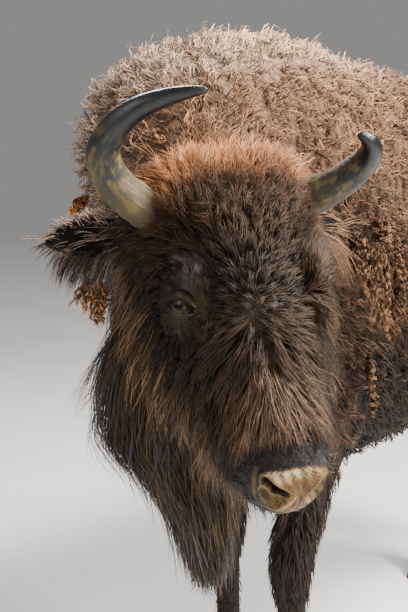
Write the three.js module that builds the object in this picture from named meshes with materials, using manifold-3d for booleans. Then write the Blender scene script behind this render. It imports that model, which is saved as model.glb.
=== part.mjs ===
// A European bison (wisent), adult, life size, standing with its head lowered and turned to its left.
// Millimetres. In the body's own frame x runs to the animal's left, -y is forward and z is up, with the
// origin on the ground under the withers. The solids follow the tips of the coat.
import * as THREE from "three";
import { mergeVertices } from "three/addons/utils/BufferGeometryUtils.js";
import Module from "manifold-3d";

const wasm = await Module();
wasm.setup();
const { Manifold, Mesh: SolidMesh } = wasm;

// ---- Driving sizes ----
const HUMP_HEIGHT = 1695; // ground to the coat over the withers
const BELLY_HEIGHT = 650;
const CHEST_HALF_WIDTH = 335;
const CROUP_HEIGHT = 1490;
const FORE_TRACK = 142; // midline to each fore foot
const HIND_TRACK = 150;
const FORE_FOOT = { left: -78, right: 40 }; // how far behind the withers each foot stands
const HIND_FOOT = { left: 1205, right: 1120 };
const HEAD_PLACE = [356, -582, 1356]; // midway between the horns
const HEAD_TURN = 60.5; // degrees the nose is turned to the left
const HEAD_DROP = 54; // degrees the nose points below the horizontal
const HEAD_TILT = 5.8; // degrees the left side of the head is the higher
const EYE = { out: 106, ahead: 174, above: 1, radius: 24 };
const HORN_ROOT_RADIUS = 35;
const HOOF_HEIGHT = 62;
const GAP = 0.3; // left between pieces that meet

// The colour, roughness and metalness of each kind of surface
const finishes = {
  coat: new THREE.MeshStandardMaterial({ color: 0x8a6a52, roughness: 0.9, metalness: 0 }),
  dark_coat: new THREE.MeshStandardMaterial({ color: 0x3f3128, roughness: 0.85, metalness: 0 }),
  horn: new THREE.MeshStandardMaterial({ color: 0x4a4a42, roughness: 0.35, metalness: 0 }),
  eye: new THREE.MeshStandardMaterial({ color: 0x2a1a10, roughness: 0.05, metalness: 0 }),
  hoof: new THREE.MeshStandardMaterial({ color: 0x2b2723, roughness: 0.5, metalness: 0 }),
};

// ---- Lofts: an egg-shaped section carried along a line ----

// A row of a loft is {at, wide, up, down} and may have {above, below}: the line's point, the half width,
// the heights over and under the line, and how much the section narrows towards its top and bottom.
const FIELDS = {
  x: (row) => row.at[0],
  y: (row) => row.at[1],
  z: (row) => row.at[2],
  wide: (row) => row.wide,
  up: (row) => row.up,
  down: (row) => row.down,
  above: (row) => row.above ?? 0,
  below: (row) => row.below ?? 0,
};

// The Catmull-Rom value of one field of the rows, at a place from 0 to 1 along them.
function along(rows, field, place) {
  const at = place * (rows.length - 1);
  const i = Math.min(Math.floor(at), rows.length - 2);
  const f = at - i;
  const value = (k) => FIELDS[field](rows[k]);
  const b = value(i);
  const c = value(i + 1);
  const a = i > 0 ? value(i - 1) : 2 * b - c;
  const d = i + 2 < rows.length ? value(i + 2) : 2 * c - b;
  return b + 0.5 * f * (c - a + f * (2 * a - 5 * b + 4 * c - d + f * (3 * (b - c) + d - a)));
}

const power = (v, exponent) => Math.sign(v) * Math.abs(v) ** exponent;

// A closed solid along the rows. `lateral` is the direction of the half width, and "up" is lateral x
// path. A fixed `path` keeps every section in parallel planes. `grow` moves the skin out along its
// normals, and `bulge` rounds the two ends, as a share of their half width.
function loft(rows, { sides = 16, steps = 16, lateral = [1, 0, 0], path, square = 2.2, grow = 0, bulge = 0.4 }) {
  const at = (u) => new THREE.Vector3(along(rows, "x", u), along(rows, "y", u), along(rows, "z", u));
  const heading = (u) => at(Math.min(1, u + 0.01)).sub(at(Math.max(0, u - 0.01))).normalize();
  const hint = new THREE.Vector3(...lateral);
  const points = [];
  for (let i = 0; i <= steps; i++) {
    const u = i / steps;
    const tangent = path ? new THREE.Vector3(...path) : heading(u);
    const side = hint.clone().addScaledVector(tangent, -hint.dot(tangent)).normalize();
    const rise = side.clone().cross(tangent);
    for (let j = 0; j < sides; j++) {
      const angle = (2 * Math.PI * j) / sides;
      const c = power(Math.cos(angle), 2 / square);
      const s = power(Math.sin(angle), 2 / square);
      const narrowed = 1 - Math.abs(s) * along(rows, s > 0 ? "above" : "below", u);
      const high = along(rows, s > 0 ? "up" : "down", u);
      const point = at(u).addScaledVector(side, c * along(rows, "wide", u) * narrowed);
      points.push(point.addScaledVector(rise, s * high));
    }
  }
  const first = points.length;
  points.push(at(0).addScaledVector(heading(0), -bulge * along(rows, "wide", 0)));
  points.push(at(1).addScaledVector(heading(1), bulge * along(rows, "wide", 1)));
  const faces = [];
  for (let j = 0; j < sides; j++) {
    const next = (j + 1) % sides;
    for (let ring = 0; ring < steps * sides; ring += sides) {
      faces.push(ring + j, ring + j + sides, ring + next + sides, ring + j, ring + next + sides, ring + next);
    }
    faces.push(first, j, next);
    faces.push(first + 1, steps * sides + next, steps * sides + j);
  }
  const geometry = new THREE.BufferGeometry().setFromPoints(points).setIndex(faces);
  geometry.computeVertexNormals();
  const normal = new THREE.Vector3();
  points.forEach((point, i) => {
    point.addScaledVector(normal.fromBufferAttribute(geometry.attributes.normal, i), grow);
  });
  return solid(geometry.setFromPoints(points));
}

// A round tube whose rows are [x, y, z, radius].
const tube = (rows, options) =>
  loft(
    rows.map(([x, y, z, r]) => ({ at: [x, y, z], wide: r, up: r, down: r })),
    { square: 2, ...options },
  );

// ---- Solids from and to three.js geometry ----

function solid(geometry) {
  const bare = geometry.clone();
  bare.deleteAttribute("normal");
  bare.deleteAttribute("uv");
  const merged = mergeVertices(bare, 1e-3);
  return new Manifold(
    new SolidMesh({
      numProp: 3,
      vertProperties: new Float32Array(merged.attributes.position.array),
      triVerts: new Uint32Array(merged.index.array),
    }),
  );
}

// A named mesh of the largest piece of a solid, as a cut can leave slivers.
function mesh(name, made, finish) {
  const whole = made.decompose().reduce((a, b) => (a.volume() > b.volume() ? a : b));
  const data = whole.getMesh();
  const geometry = new THREE.BufferGeometry();
  geometry.setAttribute("position", new THREE.BufferAttribute(new Float32Array(data.vertProperties), 3));
  geometry.setIndex(new THREE.BufferAttribute(new Uint32Array(data.triVerts), 1));
  geometry.computeVertexNormals();
  const piece = new THREE.Mesh(geometry, finishes[finish]);
  piece.name = name;
  return piece;
}

const SIDES = { left: 1, right: -1 };

// ---- Trunk: hump, barrel and rump in one ----

// Rows of [y, top, bottom, half width, height of the widest line, narrowing above, narrowing below].
const TRUNK = [
  [-430, 1475, 960, 165, 1370, 0, 0.5],
  [-370, 1590, 830, 262, 1420, 0, 0.55],
  [-280, 1662, 740, 318, 1435, 0, 0.55],
  [-180, HUMP_HEIGHT - 4, 700, 334, 1415, 0.02, 0.5],
  [-50, HUMP_HEIGHT, BELLY_HEIGHT + 15, 338, 1345, 0.06, 0.38],
  [100, HUMP_HEIGHT - 28, BELLY_HEIGHT, CHEST_HALF_WIDTH + 3, 1250, 0.12, 0.22],
  [270, HUMP_HEIGHT - 54, BELLY_HEIGHT, CHEST_HALF_WIDTH + 8, 1180, 0.16, 0.12],
  [450, HUMP_HEIGHT - 80, BELLY_HEIGHT + 15, CHEST_HALF_WIDTH + 13, 1140, 0.18, 0.08],
  [620, CROUP_HEIGHT + 88, BELLY_HEIGHT + 38, CHEST_HALF_WIDTH + 10, 1130, 0.2, 0.08],
  [800, CROUP_HEIGHT + 46, BELLY_HEIGHT + 78, CHEST_HALF_WIDTH, 1150, 0.2, 0.1],
  [980, CROUP_HEIGHT + 18, BELLY_HEIGHT + 145, 306, 1180, 0.2, 0.1],
  [1120, CROUP_HEIGHT, BELLY_HEIGHT + 220, 266, 1200, 0.2, 0.1],
  [1220, CROUP_HEIGHT - 42, BELLY_HEIGHT + 290, 212, 1200, 0.2, 0.1],
  [1290, CROUP_HEIGHT - 105, BELLY_HEIGHT + 360, 145, 1195, 0.2, 0.1],
  [1328, CROUP_HEIGHT - 180, BELLY_HEIGHT + 420, 80, 1190, 0.1, 0.1],
].map(([y, top, bottom, wide, line, above, below]) => {
  return { at: [0, y, line], wide, up: top - line, down: line - bottom, above, below };
});
const trunk = (grow = 0) => loft(TRUNK, { sides: 22, steps: 20, path: [0, 1, 0], square: 2.4, grow });

// ---- Neck and throat, bent to the left from the withers to the back of the head ----

const NECK = [
  { at: [330, -560, 1270], wide: 130, up: 125, down: 190, above: 0.1, below: 0.3 },
  { at: [262, -498, 1290], wide: 178, up: 195, down: 320, above: 0.1, below: 0.35 },
  { at: [180, -420, 1320], wide: 216, up: 262, down: 430, above: 0.12, below: 0.4 },
  { at: [100, -320, 1350], wide: 252, up: 300, down: 520, above: 0.12, below: 0.45 },
  { at: [35, -190, 1360], wide: 280, up: 318, down: 590, above: 0.12, below: 0.45 },
  { at: [0, -20, 1340], wide: 285, up: 330, down: 600, above: 0.12, below: 0.4 },
];
const neck = (grow = 0) => loft(NECK, { sides: 18, steps: 10, lateral: [0.75, 0.66, 0], grow });

// ---- Head, in a frame of its own: x to its left, -y to the nose, z out of the forehead ----

const headFrame = new THREE.Group();
headFrame.position.set(...HEAD_PLACE);
headFrame.rotation.set(
  THREE.MathUtils.degToRad(HEAD_DROP),
  THREE.MathUtils.degToRad(-HEAD_TILT),
  THREE.MathUtils.degToRad(HEAD_TURN),
  "ZXY",
);
headFrame.updateMatrixWorld(true);
const fromHead = (made) => made.transform(headFrame.matrixWorld.elements);
const toHead = (made) => made.transform(headFrame.matrixWorld.clone().invert().elements);

// Rows of [y, top, bottom, half width, place of the widest line, narrowing above], lips to nape.
const HEAD = [
  [-506, -22, -76, 36, -46, 0.1],
  [-490, 24, -104, 60, -44, 0.1],
  [-460, 50, -118, 72, -44, 0.1],
  [-425, 62, -132, 80, -50, 0.14],
  [-380, 72, -155, 96, -62, 0.2],
  [-310, 88, -195, 134, -92, 0.3],
  [-230, 106, -226, 166, -116, 0.36],
  [-160, 120, -242, 181, -122, 0.36],
  [-90, 130, -242, 184, -105, 0.24],
  [-20, 126, -222, 182, -72, 0.1],
  [45, 104, -200, 170, -50, 0.04],
  [98, 56, -178, 140, -55, 0],
  [136, -14, -140, 84, -78, 0],
].map(([y, top, bottom, wide, line, above]) => {
  return { at: [0, y, line], wide, up: top - line, down: line - bottom, above, below: 0.25 };
});
const skull = (grow = 0) => loft(HEAD, { sides: 22, steps: 24, path: [0, 1, 0], square: 2.3, grow });

// Each eye is a ball. A flared socket through the coat shows the front of it.
const place = (geometry, side) => geometry.translate(SIDES[side] * EYE.out, -EYE.ahead, EYE.above);
const eyeball = (side, grow = 0) => solid(place(new THREE.SphereGeometry(EYE.radius + grow, 12, 8), side));
function socket(side) {
  const depth = 2 * EYE.radius + 30;
  const flare = new THREE.CylinderGeometry(EYE.radius * 2.4, EYE.radius * 0.9, depth, 12);
  flare.translate(0, depth / 2, 0);
  flare.rotateZ((-SIDES[side] * Math.PI) / 2);
  return solid(place(flare, side));
}

// Horns, thick at the root and fine at the tip. The left one is the shorter and less curled.
const HORN_LINES = {
  right: [
    [-95, -8, -16],
    [-131, -2, 10],
    [-186, 30, 46],
    [-207, 58, 93],
    [-192, 77, 135],
    [-156, 88, 170],
    [-105, 90, 195],
    [-54, 86, 212],
  ],
  left: [
    [95, -2, -16],
    [130, -6, 12],
    [160, -10, 42],
    [188, -10, 78],
    [207, -8, 118],
    [209, -6, 150],
    [199, -2, 172],
    [180, 4, 184],
  ],
};
function horn(side, grow = 0) {
  const line = HORN_LINES[side];
  const rows = line.map((point, i) => {
    const share = i / (line.length - 1);
    return [...point, HORN_ROOT_RADIUS * (1 - share) ** 0.6 * (1 - 0.1 * share) + 4];
  });
  return tube(rows, { sides: 10, steps: 16, lateral: [0, 0.8, -0.6], grow });
}

// Ears: hairy leaves. The right one stands out sideways and the left one is laid back.
const EAR_LINES = {
  right: { root: [-128, -10, -62], tip: [-296, 26, -118], lateral: [0.2, 0.95, 0] },
  left: { root: [128, -4, -62], tip: [256, 26, -148], lateral: [0.2, 0.95, 0] },
};
const EAR_HALF_WIDTHS = [18, 32, 46, 50, 38, 14];
function ear(side, grow = 0) {
  const { root, tip, lateral } = EAR_LINES[side];
  const rows = EAR_HALF_WIDTHS.map((wide, i) => {
    const share = i / (EAR_HALF_WIDTHS.length - 1);
    const at = root.map((start, k) => start + share * (tip[k] - start));
    return { at, wide, up: 10 + 0.28 * wide, down: 8 + 0.25 * wide };
  });
  return loft(rows, { sides: 10, steps: 8, lateral, grow });
}

// The beard hangs plumb from the jaw and throat, so it is lofted in the body's frame.
const BEARD = [
  { at: [276, -612, 1075], wide: 100, up: 90, down: 80 },
  { at: [270, -614, 1010], wide: 122, up: 100, down: 86 },
  { at: [268, -614, 945], wide: 130, up: 100, down: 80 },
  { at: [300, -618, 880], wide: 96, up: 78, down: 64 },
  { at: [336, -622, 830], wide: 60, up: 54, down: 48 },
  { at: [352, -626, 775], wide: 38, up: 34, down: 32 },
  { at: [362, -632, 722], wide: 17, up: 15, down: 15 },
];
const beard = (grow = 0) =>
  loft(BEARD, { sides: 14, steps: 10, lateral: [0.77, 0.64, 0], path: [0, 0, -1], grow });

// ---- Legs: rows of [z, how far out, how far back, half width, rear, front] from the foot's place ----

const FORE_LEG = [
  [1080, 30, 130, 92, 130, 130],
  [950, 26, 132, 94, 124, 124],
  [840, 18, 112, 88, 108, 104],
  [740, 10, 78, 78, 92, 86],
  [640, 4, 42, 66, 74, 68],
  [550, 0, 14, 56, 60, 58],
  [475, 0, 2, 53, 52, 54],
  [400, 0, 5, 38, 43, 41],
  [270, 0, 13, 34, 39, 36],
  [180, 0, 8, 41, 48, 42],
  [112, 0, -10, 39, 40, 40],
  [HOOF_HEIGHT, 0, -28, 43, 42, 46],
];
const HIND_LEG = [
  [1340, 12, -130, 60, 90, 120],
  [1220, 32, -122, 108, 146, 190],
  [1080, 44, -112, 128, 168, 220],
  [950, 38, -98, 120, 156, 205],
  [850, 24, -62, 98, 124, 158],
  [750, 10, -14, 72, 88, 108],
  [660, 2, 38, 54, 60, 72],
  [585, 0, 70, 47, 54, 50],
  [510, 0, 68, 39, 43, 40],
  [390, 0, 52, 34, 37, 36],
  [260, 0, 36, 35, 39, 37],
  [182, 0, 28, 42, 48, 44],
  [115, 0, 4, 39, 40, 40],
  [HOOF_HEIGHT, 0, -16, 43, 42, 46],
];
function leg(rows, track, foot, side, grow = 0) {
  const stations = rows.map(([z, out, back, wide, up, down]) => {
    return { at: [SIDES[side] * (track + out), foot + back, z], wide, up, down };
  });
  return loft(stations, { sides: 12, steps: 16, path: [0, 0, -1], grow, bulge: 0 });
}

// Each foot has two claws, flat under the sole, and two dewclaws behind the fetlock.
const CLAW_HALF_WIDTH = 22.5;
function claw(x, y) {
  const rows = [
    { at: [x, y + 4, HOOF_HEIGHT + 12], wide: CLAW_HALF_WIDTH - 4, up: 36, down: 36 },
    { at: [x, y - 6, 0.6 * HOOF_HEIGHT], wide: CLAW_HALF_WIDTH - 2, up: 38, down: 50 },
    { at: [x, y - 14, 0], wide: CLAW_HALF_WIDTH, up: 36, down: 60 },
  ];
  return loft(rows, { sides: 10, steps: 3, path: [0, 0, -1], square: 2.4, bulge: 0 });
}
function dewclaw(x, y, z, grow = 0) {
  const rows = [
    [x, y - 14, z + 14, 9],
    [x, y + 3, z, 11],
    [x, y + 8, z - 22, 6],
  ];
  return tube(rows, { sides: 8, steps: 3, grow });
}

// ---- Tail: a thin dock and a long brush ----

const TAIL = [
  [0, 1288, 1420, 46],
  [0, 1345, 1370, 38],
  [0, 1374, 1280, 31],
  [0, 1378, 1150, 29],
  [0, 1372, 1010, 36],
  [0, 1366, 880, 48],
  [0, 1362, 740, 44],
  [0, 1358, 620, 27],
  [0, 1356, 560, 9],
];
const tail = () => tube(TAIL, { sides: 10, steps: 14 });

// ---- The animal, each piece cut back from the one that carries it ----

const animal = new THREE.Group();
animal.add(headFrame);

const trunkCut = trunk(GAP);
const bodyCut = neck(GAP).add(trunkCut);
animal.add(mesh("trunk", trunk(), "coat"));
animal.add(mesh("neck", neck().subtract(trunkCut), "coat"));
animal.add(mesh("tail", tail().subtract(trunkCut), "dark_coat"));
animal.add(mesh("beard", beard().subtract(fromHead(skull(GAP))).subtract(bodyCut), "dark_coat"));

const behindHead = toHead(bodyCut);
let head = skull().subtract(behindHead);
for (const side of Object.keys(SIDES)) {
  const hornCut = horn(side, GAP);
  const earCut = skull(GAP).add(behindHead).add(hornCut);
  head = head.subtract(hornCut).subtract(eyeball(side, GAP)).subtract(socket(side));
  headFrame.add(mesh(`horn_${side}`, horn(side).subtract(behindHead), "horn"));
  headFrame.add(mesh(`ear_${side}`, ear(side).subtract(earCut), "dark_coat"));
  headFrame.add(mesh(`eye_${side}`, eyeball(side), "eye"));
}
headFrame.add(mesh("head", head, "dark_coat"));

const LEGS = {
  fore: { rows: FORE_LEG, track: FORE_TRACK, feet: FORE_FOOT },
  hind: { rows: HIND_LEG, track: HIND_TRACK, feet: HIND_FOOT },
};
for (const [end, { rows, track, feet }] of Object.entries(LEGS)) {
  for (const side of Object.keys(SIDES)) {
    const foot = feet[side];
    const legCut = leg(rows, track, foot, side, GAP);
    let limb = leg(rows, track, foot, side).subtract(bodyCut);
    for (const [half, out] of [
      ["outer", 1],
      ["inner", -1],
    ]) {
      const toe = SIDES[side] * (track + out * (CLAW_HALF_WIDTH + 1));
      const spur = [SIDES[side] * (track + out * 20), foot + 48, 118];
      limb = limb.subtract(dewclaw(...spur, GAP));
      animal.add(mesh(`hoof_${end}_${side}_${half}`, claw(toe, foot - 22).subtract(legCut), "hoof"));
      animal.add(mesh(`dewclaw_${end}_${side}_${half}`, dewclaw(...spur), "hoof"));
    }
    animal.add(mesh(`leg_${end}_${side}`, limb, "dark_coat"));
  }
}

// The model's origin is on the ground under the middle of the whole animal.
const middle = new THREE.Box3().setFromObject(animal, true).getCenter(new THREE.Vector3());
animal.position.set(-middle.x, -middle.y, 0);

export default animal;
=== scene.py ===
"""A wisent (European bison), life size, standing with its head lowered and turned to its left.

The model is built as a natural history museum builds one: a hide over the form, then the eyes, horns,
hooves and ears, and last the coat, laid lock by lock from the face to the tail. Metres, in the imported
part's frame: x to the animal's left, -y forward, z up, with the ground at z = 0.
"""

import bmesh
import bpy
import numpy as np
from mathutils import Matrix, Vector


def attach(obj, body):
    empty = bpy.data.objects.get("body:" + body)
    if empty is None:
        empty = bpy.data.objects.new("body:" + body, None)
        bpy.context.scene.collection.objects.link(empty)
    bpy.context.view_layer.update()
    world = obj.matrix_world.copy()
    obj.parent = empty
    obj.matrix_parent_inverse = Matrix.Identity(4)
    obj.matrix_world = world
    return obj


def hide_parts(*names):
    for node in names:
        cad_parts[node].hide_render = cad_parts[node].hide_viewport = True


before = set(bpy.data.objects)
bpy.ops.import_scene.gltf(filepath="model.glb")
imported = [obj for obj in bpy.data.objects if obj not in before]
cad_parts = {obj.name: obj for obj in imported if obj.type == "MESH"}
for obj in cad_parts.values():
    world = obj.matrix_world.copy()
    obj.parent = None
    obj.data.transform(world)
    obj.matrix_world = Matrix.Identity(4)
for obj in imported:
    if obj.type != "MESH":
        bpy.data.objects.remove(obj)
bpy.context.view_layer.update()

# ---------------------------------------------------------------------------------------------------------
# Hide. One skin covers the whole animal from the lips to the dock of the tail and down to the hooves. It
# lies under the outline by the depth of the coat, which is deepest on the crown, neck and hump, and it is
# bare only on the nose, lips and eyelids.
# ---------------------------------------------------------------------------------------------------------
WITHERS = np.array([-0.14474, -0.29792, 0.0])  # the ground point under the withers
HIDE_GRAIN = 0.0135  # spacing of the hide's points before the face is refined
FLESH = ["trunk", "neck", "head", "tail", "leg_fore_left", "leg_fore_right", "leg_hind_left",
         "leg_hind_right"]


def turn(axis, degrees):
    """The rotation by an angle about x, y or z, as a matrix that acts on columns."""
    c, s = np.cos(np.radians(degrees)), np.sin(np.radians(degrees))
    i, j = [(1, 2), (2, 0), (0, 1)][axis]
    matrix = np.eye(3)
    matrix[[i, j, i, j], [i, j, j, i]] = [c, c, -s, s]
    return matrix


# The head's own frame: x to its left, -y to the nose, z out of the forehead, from midway between the horns
HEAD_AXES = turn(2, 60.5) @ turn(0, 54) @ turn(1, -5.8)
POLL = WITHERS + [0.356, -0.582, 1.356]


def to_head(points):
    """Places in the head's frame, called h below. Places from the foot of the withers are called b."""
    return (points - POLL) @ HEAD_AXES


def from_head(points):
    """The reverse of to_head."""
    return POLL + np.asarray(points) @ HEAD_AXES.T


def ramp(value, start, end):
    """0 before start, 1 after end, and the smooth cubic 3t^2 - 2t^3 between them."""
    t = np.clip((value - start) / (end - start), 0, 1)
    return t * t * (3 - 2 * t)


def unit(vectors):
    return vectors / np.maximum(np.linalg.norm(vectors, axis=-1, keepdims=True), 1e-9)


def apart(points, place):
    """How far each point is from a place."""
    return np.linalg.norm(points - place, axis=1)


def bell(value, middle, width):
    """1 at the middle and less on both sides: exp(-t^2), with t the distance from the middle in widths."""
    return np.exp(-(((value - middle) / width) ** 2))


def soft(points, scale, seed):
    """Smooth lumps from -1 to 1: the mean of six sine waves that run in random directions."""
    rng = np.random.default_rng(seed)
    waves = unit(rng.normal(size=(6, 3))) * rng.uniform(0.6, 1.6, (6, 1)) / scale
    return np.sin(points @ waves.T * 2 * np.pi + rng.uniform(0, 6.3, 6)).mean(1) * 1.6


def build(name, points, faces):
    """A mesh object from an array of points and arrays of faces, each array with one number of corners."""
    mesh = bpy.data.meshes.new(name)
    mesh.vertices.add(len(points))
    mesh.vertices.foreach_set("co", np.asarray(points, np.float32).ravel())
    corners = np.concatenate([np.asarray(f, np.int32).ravel() for f in faces])
    sizes = np.concatenate([np.full(len(f), np.shape(f)[1], np.int32) for f in faces])
    mesh.loops.add(len(corners))
    mesh.loops.foreach_set("vertex_index", corners)
    mesh.polygons.add(len(sizes))
    mesh.polygons.foreach_set("loop_start", np.cumsum(sizes, dtype=np.int32) - sizes)
    mesh.update(calc_edges=True)
    mesh.polygons.foreach_set("use_smooth", np.ones(len(sizes), bool))
    piece = bpy.data.objects.new(name, mesh)
    bpy.context.scene.collection.objects.link(piece)
    return piece


def fetch(items, key, width=1, kind=np.int32):
    """One property of all a mesh's points, edges, corners or faces, as an array."""
    values = np.empty(len(items) * width, kind)
    items.foreach_get(key, values)
    return values.reshape(-1, width) if width > 1 else values


def read(mesh):
    """A mesh's points, edges and faces as arrays, the faces as quads whose last corner repeats in a
    triangle."""
    points, edges = fetch(mesh.vertices, "co", 3, np.float32), fetch(mesh.edges, "vertices", 2)
    starts, sizes = fetch(mesh.polygons, "loop_start"), fetch(mesh.polygons, "loop_total")
    quads = starts[:, None] + np.minimum(np.arange(4), sizes[:, None] - 1)
    return points.astype(float), edges, fetch(mesh.loops, "vertex_index")[quads]


def gather(index, values, count):
    """The sum of the values that share an index, for each index."""
    return np.stack([np.bincount(index, values[:, k], count) for k in range(values.shape[1])], 1)


def relax(points, edges, rounds, hold=1.0):
    """Each round moves every point halfway to the mean of its neighbours, times its hold."""
    a, b = edges.T
    number = np.maximum(np.bincount(edges.ravel(), minlength=len(points)), 1)[:, None]
    for _ in range(rounds):
        mean = (gather(a, points[b], len(points)) + gather(b, points[a], len(points))) / number
        points = points + 0.5 * hold * (mean - points)
    return points


def normals_of(points, quads):
    """Each point's normal: the sum of its faces' normals, each the cross product of the face's
    diagonals."""
    a, b, c, d = (points[quads[:, k]] for k in range(4))
    face = np.cross(c - a, d - b)
    return unit(gather(quads.T.ravel(), np.tile(face, (4, 1)), len(points)))


def circle(count):
    """Equally spaced angles round a circle."""
    return np.arange(count) / count * 2 * np.pi


def pairs(rows, columns):
    """Every pair of a value of rows and one of columns, as two flat arrays."""
    return [values.ravel() for values in np.meshgrid(rows, columns, indexing="ij")]


def closed_grid(rows, columns):
    """The faces of a grid whose columns close on themselves, with its two ends left open."""
    i, j = pairs(np.arange(rows - 1), np.arange(columns))
    nxt = (j + 1) % columns
    corners = [i * columns + j, (i + 1) * columns + j, (i + 1) * columns + nxt, i * columns + nxt]
    return np.stack(corners, 1)


def ball_faces(rows, columns):
    """The faces of a ball whose points are its rings and then its two poles: quads, and fans at the
    poles."""
    ring = np.arange(columns)
    nxt, last, pole = (ring + 1) % columns, (rows - 1) * columns, ring * 0 + rows * columns
    fans = [np.stack([pole, ring, nxt], 1), np.stack([pole + 1, last + nxt, last + ring], 1)]
    return closed_grid(rows, columns), np.concatenate(fans)


def ball(centre, radius):
    """A closed sphere of triangles: angles from pole to pole by angles around."""
    rows, columns = 15, 20
    pitch, spin = pairs(np.linspace(0, np.pi, rows + 2)[1:-1], circle(columns))
    rings = np.stack([np.sin(pitch) * np.cos(spin), np.sin(pitch) * np.sin(spin), np.cos(pitch)], 1)
    points = np.concatenate([rings, [[0, 0, 1], [0, 0, -1]]]) * radius + centre
    quads, fans = ball_faces(rows, columns)
    return points, np.concatenate([quads[:, [0, 1, 2]], quads[:, [0, 2, 3]], fans])


def head_share(points):
    """1 on the head and 0 on the body, from the place in the head's own frame."""
    x, y, z = to_head(points).T
    inside = ramp(np.abs(x), 0.25, 0.2) * ramp(z, -0.31, -0.26)
    return inside * ramp(y, 0.15, 0.06)


def coat_depth(points):
    """How far the hide lies under the tips of the coat: shares of the crown, cheek, neck, hump, back
    and legs."""
    h, b = to_head(points), points - WITHERS
    front = ramp(b[:, 1], 0.75, 0.1)
    body = 0.013 + 0.006 * ramp(b[:, 2], 0.6, 0.9) + 0.024 * front * ramp(b[:, 2], 0.75, 1.15)
    legs = 0.005 + 0.009 * ramp(b[:, 2], 0.42, 0.7)
    body = body + (legs - body) * ramp(b[:, 2], 0.8, 0.62)
    dock = ramp(b[:, 1], 1.3, 1.33) * ramp(b[:, 2], 1.45, 1.4)
    body = body + (0.016 - body) * dock
    face = 0.020 + 0.014 * ramp(h[:, 1], -0.12, 0.04) * ramp(h[:, 2], -0.1, 0.05)
    face = face * ramp(h[:, 1], -0.455, -0.33) + 0.0015
    for side in (-1, 1):
        near_eye = apart(h, [side * 0.115, -0.177, 0.006])
        face = face * (0.22 + 0.78 * ramp(near_eye, 0.03, 0.075))
    share = head_share(points)
    return body + (face - body) * share


def merged(name):
    """One CAD solid's points and triangles, with the points that share a place made one."""
    points, _, quads = read(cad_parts[name].data)
    _, first, back = np.unique(np.round(points, 5), axis=0, return_index=True, return_inverse=True)
    return points[first], back.reshape(-1)[quads[:, :3]]


# Balls fill the roots of the horns and the eye sockets, where the flesh nodes leave hollows
HORN_CORES = {-1: [[-95, -8, -16], [-125, -3, 6]], 1: [[95, -2, -16], [122, -5, 6]]}
HORN_CORE_RADIUS, SOCKET_RADIUS = 0.037, 0.028
solids = [merged(name) for name in FLESH]
for side, cores in HORN_CORES.items():
    solids += [ball(from_head(np.array(core) / 1000), HORN_CORE_RADIUS) for core in cores]
    solids.append(ball(from_head([side * 0.098, -0.171, -0.006]), SOCKET_RADIUS))
offsets = np.cumsum([0] + [len(points) for points, _ in solids])
triangles = [faces + offset for (_, faces), offset in zip(solids, offsets)]
form = build("form", np.concatenate([points for points, _ in solids]), [np.concatenate(triangles)])
remesh = form.modifiers.new("one skin", "REMESH")
remesh.mode, remesh.voxel_size, remesh.adaptivity = "VOXEL", HIDE_GRAIN, 0
skin, edges, quads = read(form.evaluated_get(bpy.context.evaluated_depsgraph_get()).data)
bpy.data.objects.remove(form)
skin = relax(skin, edges, 4)
skin = skin - normals_of(skin, quads) * coat_depth(skin)[:, None]
skin = relax(skin, edges, 3)

# The muzzle and the eye rounds get points every 3 mm, and then every 1.6 mm at the nose and lids
EYE_CENTRES = {side: np.array([side * 0.106, -0.174, 0.001]) for side in (-1, 1)}
FINE_REACHES = [0.066, 0.052, 0.040]  # how far from an eye each round of cuts goes, and less at the muzzle
shaped = build("hide", skin, [quads])
shell = bmesh.new()
shell.from_mesh(shaped.data)
for reach in FINE_REACHES:
    places = to_head(np.array([v.co[:] for v in shell.verts]))
    fine = (places[:, 1] < -0.28 - (FINE_REACHES[0] - reach) * 4) & (head_share(from_head(places)) > 0.5)
    for centre in EYE_CENTRES.values():
        fine |= apart(places, centre) < reach
    shell.verts.index_update()
    cut = [e for e in shell.edges if fine[e.verts[0].index] and fine[e.verts[1].index]]
    bmesh.ops.subdivide_edges(shell, edges=cut, cuts=1, use_grid_fill=True)
bmesh.ops.triangulate(shell, faces=[f for f in shell.faces if len(f.verts) > 4])
shell.to_mesh(shaped.data)
shell.free()
skin, edges, quads = read(shaped.data)
bpy.data.objects.remove(shaped)
h = to_head(skin)
head = head_share(skin)
by_eyes = np.maximum(*[ramp(apart(h, centre), 0.085, 0.07) for centre in EYE_CENTRES.values()])
refined = head * np.maximum(ramp(h[:, 1], -0.24, -0.3), by_eyes)
skin = relax(skin, edges, 8, refined[:, None])


def from_line(points, line, radii):
    """How far each point is from a broken line, in radii: the least over its stretches of the distance
    to the nearest place on the stretch, divided by the radius there."""
    line, radii = np.asarray(line, float), np.asarray(radii, float)
    best = np.full(len(points), 1e9)
    for start, end, first, last in zip(line[:-1], line[1:], radii[:-1], radii[1:]):
        along = np.clip((points - start) @ (end - start) / ((end - start) @ (end - start)), 0, 1)
        gap = np.linalg.norm(points - start - along[:, None] * (end - start), axis=1)
        best = np.minimum(best, gap / (first + along * (last - first)))
    return best


# Nostrils are comma-shaped pits over a shallow scoop, with a ridge on each side of the scoop. The lips meet
# along a crease under the nose pad. Both sides are alike, about the middle line of the muzzle.
MUZZLE_MIDDLE = 0.006
NOSTRIL = (np.array([[-58, -460, 31], [-52, -472, 20], [-42, -486, 9], [-31, -496, 4], [-21, -501, 5]])
           / 1000)
NOSTRIL_RADII = [0.0030, 0.0064, 0.0102, 0.0130, 0.0098]
SCOOP = np.array([[-0.041, -0.490, 0.000], [-0.031, -0.500, -0.014]])
OUTER_RIDGE = np.array([[-0.061, -0.454, 0.016], [-0.060, -0.470, -0.006], [-0.061, -0.487, -0.028]])
INNER_RIDGE = np.array([[-0.004, -0.499, -0.004], [-0.009, -0.504, -0.018], [-0.018, -0.505, -0.030]])


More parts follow.
